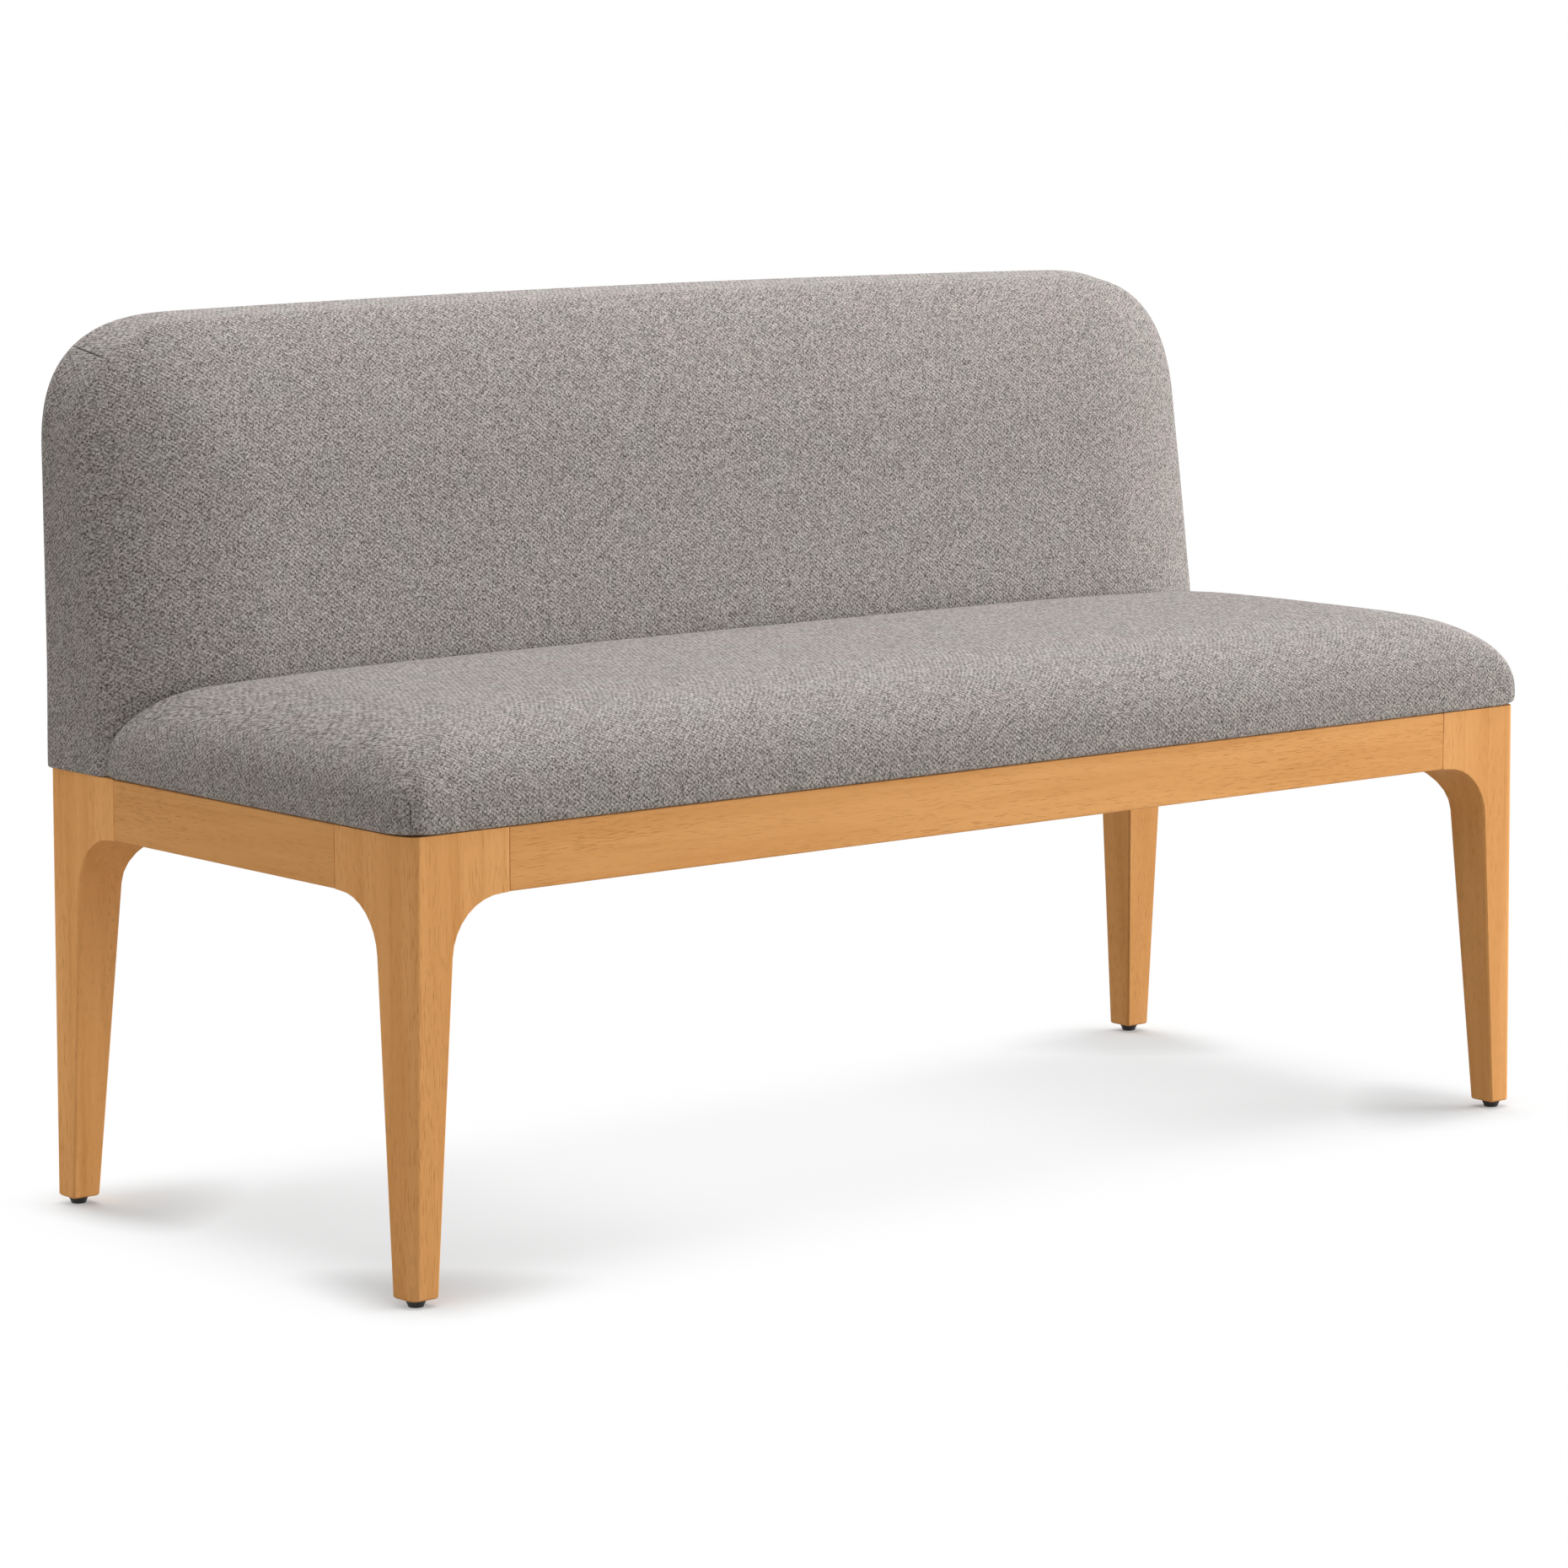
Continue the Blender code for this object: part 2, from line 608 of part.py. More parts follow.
def meeting_places(reach):
    """Places from right to left where the seat and the back share their corners, drawn in to a reach."""
    full = COVER_HALF_WIDTH - BACK_BOTTOM_RADIUS
    edge = [COVER_HALF_WIDTH - BACK_CORNER_RADIUS * (1 - share) for share in (0, *edge_shares())]
    right = [edge[0] / 2] + [x for x in edge if x < full]
    places = right[::-1] + [0] + [-x for x in right]
    return [x * reach / full for x in places]


def seat_rear_y(x):
    """Rear edge of the seat, which follows the rounded ends of the back."""
    return SEAT_REAR_Y + edge_fall(x, CUSHION_BOTTOM)


# Seat

def seat_ring(side_inset, rear_inset, z, corner_radius):
    """Plan of the seat at one height: the front corners are round and the rear ones tight."""
    x = COVER_HALF_WIDTH - side_inset
    front = SEAT_FRONT_Y + side_inset
    r, q = corner_radius, SEAT_REAR_RADIUS
    rear = seat_rear_y(x - q) - rear_inset
    ring = arc((x - r, front + r), r, -90, 0, SEAT_CORNER_STEPS)
    ring += straight((x, front + r), (x, rear - q), SEAT_SIDE_STEPS)
    ring += arc((x - q, rear - q), q, 0, 90, SEAT_REAR_STEPS)
    ring += [(a, seat_rear_y(a) - rear_inset) for a in meeting_places(x - q)]
    ring += arc((-x + q, rear - q), q, 90, 180, SEAT_REAR_STEPS)
    ring += straight((-x, rear - q), (-x, front + r), SEAT_SIDE_STEPS)
    ring += arc((-x + r, front + r), r, 180, 270, SEAT_CORNER_STEPS)
    ring += straight((-x + r, front), (x - r, front), SEAT_LONG_STEPS)
    return [(a, b, z) for a, b in ring]


def seat_rings():
    """Rings of the seat's outside from the inner edge of its hem to the crown."""
    low = CUSHION_BOTTOM
    shoulder = FRAME_TOP + SEAT_SIDE_HEIGHT
    edge = SEAT_EDGE_RADIUS
    rings = [
        seat_ring(HEM_WIDTH, HEM_WIDTH, low, SEAT_HEM_CORNER_RADIUS),
        seat_ring(edge, edge, low, SEAT_HEM_CORNER_RADIUS),
        seat_ring(0, 0, low + edge, SEAT_CORNER_RADIUS),
    ]
    power = 2 / SEAT_ROUNDNESS
    for i in range(SEAT_SLOPE_STEPS + 1):
        turn = math.pi / 2 * i / SEAT_SLOPE_STEPS
        inwards = 1 - max(math.cos(turn), 0) ** power
        side_inset = SEAT_SLOPE_WIDTH * inwards
        rear_inset = SEAT_REAR_SLOPE * inwards
        z = shoulder + SEAT_RISE * math.sin(turn) ** power
        rings.append(seat_ring(side_inset, rear_inset, z, SEAT_CORNER_RADIUS + side_inset / 2))
    top = shoulder + SEAT_RISE
    radius = SEAT_CORNER_RADIUS + SEAT_SLOPE_WIDTH / 2
    for share in (0.5, 1):
        onwards = SEAT_CROWN_REACH * share
        rise = SEAT_CROWN * (1 - (1 - share) ** 2)
        ring = seat_ring(SEAT_SLOPE_WIDTH + onwards, SEAT_REAR_SLOPE + onwards, top + rise, radius)
        rings.append(ring)
    return rings


def open_cover(name, rings, place_faces):
    """Fabric cover as a skin that is open underneath, thickened inwards."""
    bm = loft(rings)
    bmesh.ops.recalc_face_normals(bm, faces=bm.faces)
    bm.faces.ensure_lookup_table()
    bmesh.ops.delete(bm, geom=[f for f in bm.faces if place_faces(f)], context="FACES")
    cover = add_object(name, bm, FABRIC, smooth_angle=60)
    shell = cover.modifiers.new("fabric", "SOLIDIFY")
    shell.thickness = COVER_THICKNESS
    shell.offset = -1
    shell.use_even_offset = True
    shell.use_quality_normals = True
    return cover


def make_seat():
    """Plywood deck, foam, cover with its turned-in hem, and dust cover."""
    rings = seat_rings()

    def underside(face):
        return len(face.verts) == len(rings[0]) and face.calc_center_median().z < DECK_BOTTOM

    open_cover("seat_cover", rings, underside)

    foam = loft(rings)
    shrink(foam, COVER_THICKNESS + SOFT_FIT)
    keep_side(foam, (0, 0, DECK_TOP + FIT), (0, 0, 1))
    add_object("seat_foam", foam, FOAM)

    plan = [(x, y) for x, y, z in seat_ring(DECK_INSET, DECK_INSET, 0, SEAT_HEM_CORNER_RADIUS)]
    deck = add_object("seat_deck", prism(plan, DECK_BOTTOM, DECK_TOP), PLYWOOD)
    inset = HEM_WIDTH + SOFT_FIT
    plan = [(x, y) for x, y, z in seat_ring(inset, inset, 0, SEAT_HEM_CORNER_RADIUS)]
    high = DECK_BOTTOM - FIT
    sheet = add_object("seat_dust_cover", prism(plan, high - DUST_COVER_THICKNESS, high), DUST_CLOTH)
    bore = SCREW_RADIUS + FIT
    for corner in CORNERS:
        drill = turned([(bore, BLOCK_TOP), (bore, DECK_BOTTOM + SCREW_GRIP + FIT)])
        cut(deck, drill, f"{corner}_deck_hole", screw_place(corner))
        punch = turned([(bore, BLOCK_TOP), (bore, DECK_BOTTOM)])
        cut(sheet, punch, f"{corner}_dust_hole", screw_place(corner))


# Back

def back_front_y(z):
    """Front of the back at a height: upright behind the seat, then leaning back."""
    return BACK_FRONT_Y + BACK_LEAN * max(0, z - BACK_LEAN_START)


def soft_corner(centre, radius, start):
    """Points of a quarter of a superellipse in a plane, from the start angle in degrees."""
    power = 2 / BACK_CORNER_ROUNDNESS
    points = []
    for a, b in arc((0, 0), 1, start, start + 90, BACK_CORNER_STEPS):
        u = math.copysign(abs(a) ** power, a)
        v = math.copysign(abs(b) ** power, b)
        points.append((centre[0] + radius * u, centre[1] + radius * v))
    return points


def back_outline(inset, bottom_inset):
    """Front view of the back as (x, z) points: round upper corners and tight lower ones."""
    x = COVER_HALF_WIDTH - inset
    low = CUSHION_BOTTOM + bottom_inset
    high = BACK_TOP - inset
    r = BACK_CORNER_RADIUS - inset
    q = BACK_BOTTOM_RADIUS
    points = arc((x - q, low + q), q, -90, 0, BACK_BOTTOM_STEPS)
    points += straight((x, low + q), (x, high - r), BACK_SIDE_STEPS)
    points += soft_corner((x - r, high - r), r, 0)
    points += straight((x - r, high), (-x + r, high), BACK_LONG_STEPS)
    points += soft_corner((-x + r, high - r), r, 90)
    points += straight((-x, high - r), (-x, low + q), BACK_SIDE_STEPS)
    points += arc((-x + q, low + q), q, 180, 270, BACK_BOTTOM_STEPS)
    points += [(a, low) for a in reversed(meeting_places(x - q))]
    return [(a, arched(a, b)) for a, b in points]


def back_rings():
    """Rings of the back's outside from its flat front round the edge to its rear."""
    shares = edge_shares()
    upright = (BACK_LEAN_START - CUSHION_BOTTOM) / (1 - shares[1])
    rings = []
    for share in shares:
        outline = back_outline(BACK_CORNER_RADIUS * (1 - share), upright * (1 - share))
        rings.append([(x, back_front_y(z) + edge_fall(x, z), z) for x, z in outline])
    rings[0] = [(x, back_front_y(z), z) for x, y, z in rings[0]]
    for angle in (90, 45, 0):
        turn = math.radians(angle)
        inset = BACK_REAR_RADIUS * (1 - math.sin(turn))
        y = BACK_REAR_Y - BACK_REAR_RADIUS * (1 - math.cos(turn))
        rings.append([(x, y, z) for x, z in back_outline(inset, inset)])
    return rings


def make_back_wood():
    """Posts, cross pieces and plywood board of the back."""
    slim_front_y = POST_REAR_Y - POST_TOP_THICKNESS
    low = FRAME_TOP + FIT
    side_view = [
        (POST_FRONT_Y, TONGUE_BOTTOM), (TONGUE_REAR_Y, TONGUE_BOTTOM), (TONGUE_REAR_Y, low),
        (POST_REAR_Y, low), (POST_REAR_Y, POST_TOP), (slim_front_y, POST_TOP), (POST_FRONT_Y, FRAME_TOP),
    ]
    drill_depth = POST_THICKNESS
    for name, side in SIDES.items():
        faces = (side * POST_X - POST_WIDTH / 2, side * POST_X + POST_WIDTH / 2)
        rings = [[(x, y, z) for y, z in side_view] for x in faces]
        post = add_object(f"back_post_{name}", loft(rings), HIDDEN_WOOD)
        for label, x, z in back_bolt_places():
            if label.startswith(name):
                bore = BACK_BOLT_RADIUS + FIT
                drill = turned([(bore, -drill_depth), (bore, drill_depth)])
                cut(post, drill, f"post_hole_{label}", (x, TONGUE_REAR_Y, z), TOWARDS_REAR)

    high_x = COVER_HALF_WIDTH - BACK_RAIL_REACH
    rail_height = (POST_TOP + FIT, POST_TOP + BACK_RAIL_HEIGHT)
    top = box((-high_x, high_x), (slim_front_y, POST_REAR_Y), rail_height)
    add_object("back_top_rail", top, HIDDEN_WOOD)
    low_x = POST_X - POST_WIDTH / 2 - FIT
    low_z = CUSHION_BOTTOM + COVER_THICKNESS + FIT
    bottom = box((-low_x, low_x), (slim_front_y, POST_REAR_Y), (low_z, low_z + BACK_RAIL_HEIGHT))
    add_object("back_bottom_rail", bottom, HIDDEN_WOOD)

    outline = back_outline(PANEL_INSET, PANEL_INSET)
    board = loft([[(x, y, z) for x, z in outline] for y in (PANEL_FRONT_Y, PANEL_REAR_Y)])
    add_object("back_panel", board, PLYWOOD)


def half_opening():
    """Half width of the opening in the underside of the back's cover."""
    return COVER_HALF_WIDTH - BACK_BOTTOM_RADIUS - FIT


def make_back():
    """Wood, foam, wadding, cover and dust cover of the back."""
    make_back_wood()
    make_back_bolts()
    rings = back_rings()

    def underside(face):
        centre = face.calc_center_median()
        level = face.normal.z < -0.99 and centre.z < DECK_BOTTOM
        return level and abs(centre.x) < half_opening()

    open_cover("back_cover", rings, underside)

    foam = loft(rings)
    shrink(foam, COVER_THICKNESS + SOFT_FIT)
    keep_side(foam, (0, PANEL_FRONT_Y - FIT, 0), (0, -1, 0))
    pad = add_object("back_foam", foam, FOAM)
    slim_front_y = POST_REAR_Y - POST_TOP_THICKNESS
    past = PANEL_REAR_Y
    for name, side in SIDES.items():
        half = POST_WIDTH / 2 + SOFT_FIT
        x_range = (side * POST_X - half, side * POST_X + half)
        slot = box(x_range, (POST_FRONT_Y - SOFT_FIT, past), (RAIL_BOTTOM, POST_TOP + SOFT_FIT))
        cut(pad, slot, f"foam_post_slot_{name}")
    high_x = COVER_HALF_WIDTH - BACK_RAIL_REACH + SOFT_FIT
    high = (POST_TOP - SOFT_FIT, POST_TOP + BACK_RAIL_HEIGHT + SOFT_FIT)
    cut(pad, box((-high_x, high_x), (slim_front_y - SOFT_FIT, past), high), "foam_top_slot")
    low_x = POST_X - POST_WIDTH / 4
    low = (RAIL_BOTTOM, CUSHION_BOTTOM + COVER_THICKNESS + BACK_RAIL_HEIGHT + SOFT_FIT)
    cut(pad, box((-low_x, low_x), (slim_front_y - SOFT_FIT, past), low), "foam_bottom_slot")

    wadding = loft(rings)
    shrink(wadding, COVER_THICKNESS + SOFT_FIT)
    keep_side(wadding, (0, PANEL_REAR_Y + FIT, 0), (0, 1, 0))
    add_object("back_wadding", wadding, FOAM)
    make_back_dust_cover()


def make_back_dust_cover():
    """Thin cloth that closes the underside of the back around the posts."""
    reach = half_opening() - COVER_THICKNESS
    front = BACK_FRONT_Y + 2 * COVER_THICKNESS
    rear = BACK_REAR_Y - BACK_REAR_RADIUS - COVER_THICKNESS
    places = (-reach, *reversed(meeting_places(reach)), reach)
    plan = [(x, front + edge_fall(x, CUSHION_BOTTOM)) for x in places]
    plan += [(reach, rear), (-reach, rear)]
    high = CUSHION_BOTTOM + COVER_THICKNESS
    sheet = add_object("back_dust_cover", prism(plan, high - DUST_COVER_THICKNESS, high), DUST_CLOTH)
    for name, side in SIDES.items():
        half = POST_WIDTH / 2 + SOFT_FIT
        x_range = (side * POST_X - half, side * POST_X + half)
        slot = box(x_range, (POST_FRONT_Y - SOFT_FIT, POST_REAR_Y + SOFT_FIT), (RAIL_BOTTOM, POST_TOP))
        cut(sheet, slot, f"dust_post_slot_{name}")


clear_scene()
ROOT = bpy.data.objects.new("banquette", None)
bpy.context.collection.objects.link(ROOT)
TOWARDS_REAR = Vector((0, 1, 0)).to_track_quat("Z", "Y").to_euler()

WOOD = make_material("wood", (0.60, 0.32, 0.11), 0.42)
HIDDEN_WOOD = make_material("hidden_wood", (0.62, 0.45, 0.26), 0.60)
PLYWOOD = make_material("plywood", (0.66, 0.50, 0.31), 0.65)
FABRIC = make_material("fabric", (0.34, 0.31, 0.29), 0.90)
FOAM = make_material("foam", (0.80, 0.74, 0.56), 0.95)
DUST_CLOTH = make_material("dust_cloth", (0.02, 0.02, 0.02), 0.95)
STEEL = make_material("steel", (0.62, 0.62, 0.60), 0.35, 1.0)
BLACK = make_material("black_plastic", (0.015, 0.014, 0.013), 0.45)

for corner_name in CORNERS:
    make_leg(corner_name)
    make_corner_block(corner_name)
    make_leg_bolt(corner_name)
    make_seat_screw(corner_name)
    make_leveller(corner_name)
make_rails()
make_seat()
make_back()
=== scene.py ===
"""Looks of the upholstered banquette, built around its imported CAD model.

Metres, +Z up, the front faces -Y and left is -X. The wooden pieces are smoothed copies of the CAD
nodes. The seat and the back are padded forms that stand for the CAD covers and their foam.
"""

import json
import math

import bmesh
import bpy
import numpy as np
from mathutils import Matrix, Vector
from mathutils.bvhtree import BVHTree

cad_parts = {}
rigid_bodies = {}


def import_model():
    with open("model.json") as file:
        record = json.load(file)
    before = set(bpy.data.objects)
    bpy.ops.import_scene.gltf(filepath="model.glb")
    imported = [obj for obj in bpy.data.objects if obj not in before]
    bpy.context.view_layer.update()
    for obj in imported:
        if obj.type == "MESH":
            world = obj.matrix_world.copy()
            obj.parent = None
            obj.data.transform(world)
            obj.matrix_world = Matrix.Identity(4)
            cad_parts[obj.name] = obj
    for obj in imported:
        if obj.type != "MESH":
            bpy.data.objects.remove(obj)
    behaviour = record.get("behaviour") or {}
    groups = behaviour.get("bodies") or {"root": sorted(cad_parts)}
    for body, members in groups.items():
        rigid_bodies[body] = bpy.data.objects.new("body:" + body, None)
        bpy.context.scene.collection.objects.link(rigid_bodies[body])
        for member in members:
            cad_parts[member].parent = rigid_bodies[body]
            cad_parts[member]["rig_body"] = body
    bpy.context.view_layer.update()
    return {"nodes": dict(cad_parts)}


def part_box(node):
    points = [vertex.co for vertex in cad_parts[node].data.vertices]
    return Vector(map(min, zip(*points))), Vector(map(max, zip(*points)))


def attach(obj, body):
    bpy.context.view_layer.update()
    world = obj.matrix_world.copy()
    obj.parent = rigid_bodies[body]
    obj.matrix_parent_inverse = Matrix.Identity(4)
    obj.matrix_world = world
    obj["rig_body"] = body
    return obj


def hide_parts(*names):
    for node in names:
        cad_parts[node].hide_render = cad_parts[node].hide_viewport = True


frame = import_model()
NODES = frame["nodes"]
BENCH = "bench"
CORNERS = ("front_left", "front_right", "rear_left", "rear_right")

# Camera, fitted to the edges of the wooden frame
CAMERA_PLACE = (-3.3126, -3.9414, 1.1004)
CAMERA_PITCH = 8.31
CAMERA_YAW = 39.74
CAMERA_LENS = 128.82
SENSOR_WIDTH = 36.0

# Boxes that the soft forms take their sizes from
SEAT_LOW, SEAT_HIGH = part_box("seat_cover")
BACK_LOW, BACK_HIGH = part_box("back_cover")
BACK_CLOTH_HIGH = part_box("back_dust_cover")[1]
CUSHION_BOTTOM = SEAT_LOW.z
HALF_WIDTH = SEAT_HIGH.x
HEM_WIDTH = 0.022
HEM_RISE = 0.0035
GRID_STEP = 0.010
BEND_WEIGHT = 0.030
QUARTER_STEPS = 24
MESH_WELD = 1e-6
CAD_WELD = 1e-5

# Seat form
SEAT_SIDE_HEIGHT = 0.018
SEAT_RISE = 0.0667
SEAT_SLOPE_WIDTH = 0.076
SEAT_REAR_SLOPE = 0.007
SEAT_ROUNDNESS = 2.05
SEAT_CORNER_RADIUS = 0.021
SEAT_CORNER_GROWTH = 0.77
SEAT_HEM_CORNER_RADIUS = 0.040
SEAT_REAR_RADIUS = 0.010
SEAT_EDGE_RADIUS = 0.005
SEAT_CROWN = 0.005
SEAT_CROWN_REACH = 0.100
SEAT_GAP = 0.0009
SEAT_SLOPE_STEPS = 14
SEAT_SLOPE_END = 86
SEAT_REAR_POINTS = 200
REAR_CORNER_DROP = 0.017
REAR_CORNER_REACH = 0.099

# Rings of the seat's turned-in hem: how far each lies past the hem's width, and if it is raised
SEAT_HEM_RINGS = ((0.0012, True), (0.0004, True), (0.0, False), (-0.001, False))

# Back form
BACK_ARCH = 0.007
BACK_LEAN = 0.150
BACK_LEAN_START = 0.470
BACK_CORNER = (0.149, 0.133)
BACK_CORNER_ROUNDNESS = 2.64
BACK_END_TAPER = 0.0018
BACK_TOP_TAPER = 0.0045
BACK_END_FALL = 0.0504
BACK_TOP_FALL = 0.0402
BACK_EDGE_ROUNDNESS = 1.63
BACK_REAR_CORNER = (0.144, 0.1225)
BACK_REAR_CORNER_ROUNDNESS = 2.78
BACK_REAR_LEAN = 0.002
BACK_REAR_LEAN_START = 0.480
BACK_REAR_LEAN_HEIGHT = 0.220
BACK_REAR_RADIUS = 0.010
BACK_REAR_BOTTOM_RADIUS = 0.005
BACK_BOTTOM_RADIUS = 0.0015
BACK_REAR_CROWN = 0.002
BACK_REAR_CROWN_REACH = 0.090
BACK_FRONT_STEPS = 14
BACK_FRONT_START = 10
BACK_REAR_STEPS = 4
BACK_DEPTH_SHARES = (0.02, 0.15, 0.30, 0.45, 0.60, 0.75, 0.88, 0.98, 1.0)
BACK_CLOTH_MARGIN = 0.002
BACK_UNDERSIDE_HEIGHT = 0.001

# Seams
FLANKS = {"left": -1, "right": 1}
# Painted shade: the seams are made of the fabric darkened to this share, standing in for the shade in
# their grooves.
SEAM_PAINTED_SHADE = 0.42
DART_ANGLE = 46.5
DART_END_SHARE = 0.985
DART_REAR_GAP = 0.008
DART_RADIUS = 0.0011
DART_FRONT_POINTS = 8
CORNER_SEAM_ANGLE = 50
CORNER_SEAM_HEIGHT = 0.033
CORNER_SEAM_RADIUS = 0.0007
SEAM_STEPS = 24
SEAM_SIDES = 8
SEAM_SINK = 0.0003
SEAM_END = 0.02

# Edges of the wooden pieces
EASED_EDGE = 0.0008
EASED_ANGLE = 40
FLAT_ANGLE = 0.2
LEG_CORNER_WIDTH = 0.0095
LEG_CORNER_DEPTH = 0.0345
LEG_CORNER_FULLNESS = 1.5
SOLE_HEIGHT = 0.0075

# Cloth simulation of the covers
SIM_FRAMES = 14
SIM_PRESSURE = 4.0
SIM_LIMIT = 0.0010
SEAT_HELD_HEIGHT = 0.020
BACK_HELD_HEIGHT = 0.090


# Meshes

def add_mesh(name, points, faces, material):
    """A named object from points and faces, shaded smooth."""
    mesh = bpy.data.meshes.new(name)
    mesh.from_pydata([tuple(p) for p in points], [], [tuple(f) for f in faces])
    bm = bmesh.new()
    bm.from_mesh(mesh)
    bmesh.ops.remove_doubles(bm, verts=bm.verts, dist=MESH_WELD)
    bmesh.ops.recalc_face_normals(bm, faces=bm.faces)
    bm.to_mesh(mesh)
    bm.free()
    mesh.shade_smooth()
    mesh.materials.append(material)
    made = bpy.data.objects.new(name, mesh)
    bpy.context.scene.collection.objects.link(made)
    return made


def round_outer_corner(bm, low, high):
    """Widens the rounding of a front leg's outer corner along the leg's front face."""
    outer = low.x if low.x < 0 else high.x
    for vert in bm.verts:
        inwards = abs(outer - vert.co.x)
        in_corner = inwards < LEG_CORNER_WIDTH and vert.co.y - low.y < LEG_CORNER_DEPTH
        if in_corner and vert.co.z > SOLE_HEIGHT:
            vert.co.x += (vert.co.x - outer) * (LEG_CORNER_FULLNESS - 1)


def polished(node, material):
    """Smooth-shaded copy of a CAD node with eased edges, its flat faces kept flat."""
    bm = bmesh.new()
    bm.from_mesh(NODES[node].data)
    bmesh.ops.remove_doubles(bm, verts=bm.verts, dist=CAD_WELD)
    flat = math.radians(FLAT_ANGLE)
    bmesh.ops.dissolve_limit(bm, angle_limit=flat, verts=bm.verts, edges=bm.edges)
    if node.startswith("front_leg"):
        round_outer_corner(bm, *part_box(node))
    name = f"{node}_finished"
    mesh = bpy.data.meshes.new(name)
    bm.to_mesh(mesh)
    bm.free()
    mesh.shade_smooth()
    mesh.materials.append(material)
    made = bpy.data.objects.new(name, mesh)
    bpy.context.scene.collection.objects.link(made)
    eased = made.modifiers.new("eased edges", "BEVEL")
    eased.width = EASED_EDGE
    eased.segments = 2
    eased.limit_method = "ANGLE"
    eased.angle_limit = math.radians(EASED_ANGLE)
    made.modifiers.new("flat faces", "WEIGHTED_NORMAL")
    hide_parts(node)
    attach(made, NODES[node]["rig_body"])
    return made


def arc(centre, radius, start, end, steps=16):
    """Points of an arc in a plane, angles in degrees."""
    angles = np.radians(np.linspace(start, end, steps + 1))
    return np.asarray(centre) + radius * np.stack([np.cos(angles), np.sin(angles)], axis=1)


def resample(run, count, bend_weight=0.0):
    """A run of points spaced evenly along its own length, or closer where it bends, both ends kept."""
    steps = np.diff(run, axis=0)
    spans = np.linalg.norm(steps, axis=1)
    if bend_weight:
        bends = np.abs(np.diff(np.unwrap(np.arctan2(steps[:, 1], steps[:, 0]))))
        spans[:-1] += bend_weight * bends / 2
        spans[1:] += bend_weight * bends / 2
    along = np.concatenate([[0], np.cumsum(spans)])
    places = np.linspace(0, along[-1], count + 1)
    return np.stack([np.interp(places, along, run[:, k]) for k in range(run.shape[1])], axis=1)


def ring_of(runs, counts):
    """Closed ring of four runs that follow each other, as points in a plane."""
    return np.concatenate([resample(run, count, BEND_WEIGHT)[:-1] for run, count in zip(runs, counts)])


def cap_of(ring, wide, high):
    """Grid of points across a ring of four runs, as a patch between opposite runs."""
    first = ring[:wide + 1]
    right = ring[wide:wide + high + 1]
    last = ring[wide + high:2 * wide + high + 1][::-1]
    left = np.concatenate([ring[2 * wide + high:], ring[:1]])[::-1]
    u = np.linspace(0, 1, wide + 1)[None, :, None]
    v = np.linspace(0, 1, high + 1)[:, None, None]
    ruled = (1 - v) * first[None] + v * last[None] + (1 - u) * left[:, None] + u * right[:, None]
    near = (1 - u) * first[0] + u * first[-1]
    far = (1 - u) * last[0] + u * last[-1]
    return ruled - (1 - v) * near - v * far


def ring_faces(rings, count):
    """Faces between rings of points that follow each other, each ring with the same count."""
    faces = []
    for level in range(rings - 1):
        base = level * count
        for i in range(count):
            j = (i + 1) % count
            faces.append((base + i, base + j, base + count + j, base + count + i))
    return faces


def closed_form(name, rings, caps, material):
    """Closed skin of rings with a grid across each end."""
    points = np.concatenate(rings)
    faces = ring_faces(len(rings), len(rings[0]))
    for cap in caps:
        rows, columns = cap.shape[:2]
        base = len(points)
        for r in range(rows - 1):
            for c in range(columns - 1):
                a = base + r * columns + c
                faces.append((a, a + 1, a + columns + 1, a + columns))
        points = np.concatenate([points, cap.reshape(-1, 3)])
    return add_mesh(name, points, faces, material)


def swell_share(distance, reach):
    """Rise of a crown at a distance inside its edge, from 0 to 1."""
    return 1 - (1 - np.clip(distance / reach, 0, 1)) ** 2


def crown_share(cap, reach):
    """Rise of a crown over a grid, from nil on its border to 1."""
    rows, columns = cap.shape[:2]
    width = np.ptp(cap[..., 0])
    height = max(np.ptp(cap[..., 1]), np.ptp(cap[..., 2]))
    u = np.linspace(0, width, columns)[None, :]
    v = np.linspace(0, height, rows)[:, None]
    across = swell_share(np.minimum(u, width - u), reach)
    return across * swell_share(np.minimum(v, height - v), reach)


def get_points(mesh):
    """Points of a mesh as an array."""
    flat = np.empty(len(mesh.vertices) * 3)
    mesh.vertices.foreach_get("co", flat)
    return flat.reshape(-1, 3)


def set_points(mesh, points):
    """Moves the points of a mesh."""
    mesh.vertices.foreach_set("co", points.ravel())
    mesh.update()


def inflate(made, held_height):
    """Lets a cover settle over its padding as blown-up cloth, held where it is fastened below."""
    mesh = made.data
    taut = get_points(mesh)
    rise = np.clip((taut[:, 2] - CUSHION_BOTTOM - HEM_RISE) / held_height, 0, 1)
    free = rise * rise * (3 - 2 * rise)
    held = made.vertex_groups.new(name="held")
    held.add([int(i) for i in np.flatnonzero(free < 1e-6)], 1.0, "REPLACE")
    cloth = made.modifiers.new("padding", "CLOTH")
    cloth.settings.vertex_group_mass = held.name
    cloth.settings.use_pressure = True
    cloth.settings.uniform_pressure_force = SIM_PRESSURE
    cloth.settings.effector_weights.gravity = 0
    cloth.point_cache.frame_end = SIM_FRAMES
    scene = bpy.context.scene
    for number in range(1, SIM_FRAMES + 1):
        scene.frame_set(number)
    shown = made.evaluated_get(bpy.context.evaluated_depsgraph_get())
    moved = get_points(shown.data) - taut
    made.modifiers.remove(cloth)
    made.vertex_groups.remove(held)
    scene.frame_set(1)
    length = np.linalg.norm(moved, axis=1)
    share = free * np.tanh(length / SIM_LIMIT) * SIM_LIMIT / np.maximum(length, 1e-9)
    set_points(mesh, taut + moved * share[:, None])


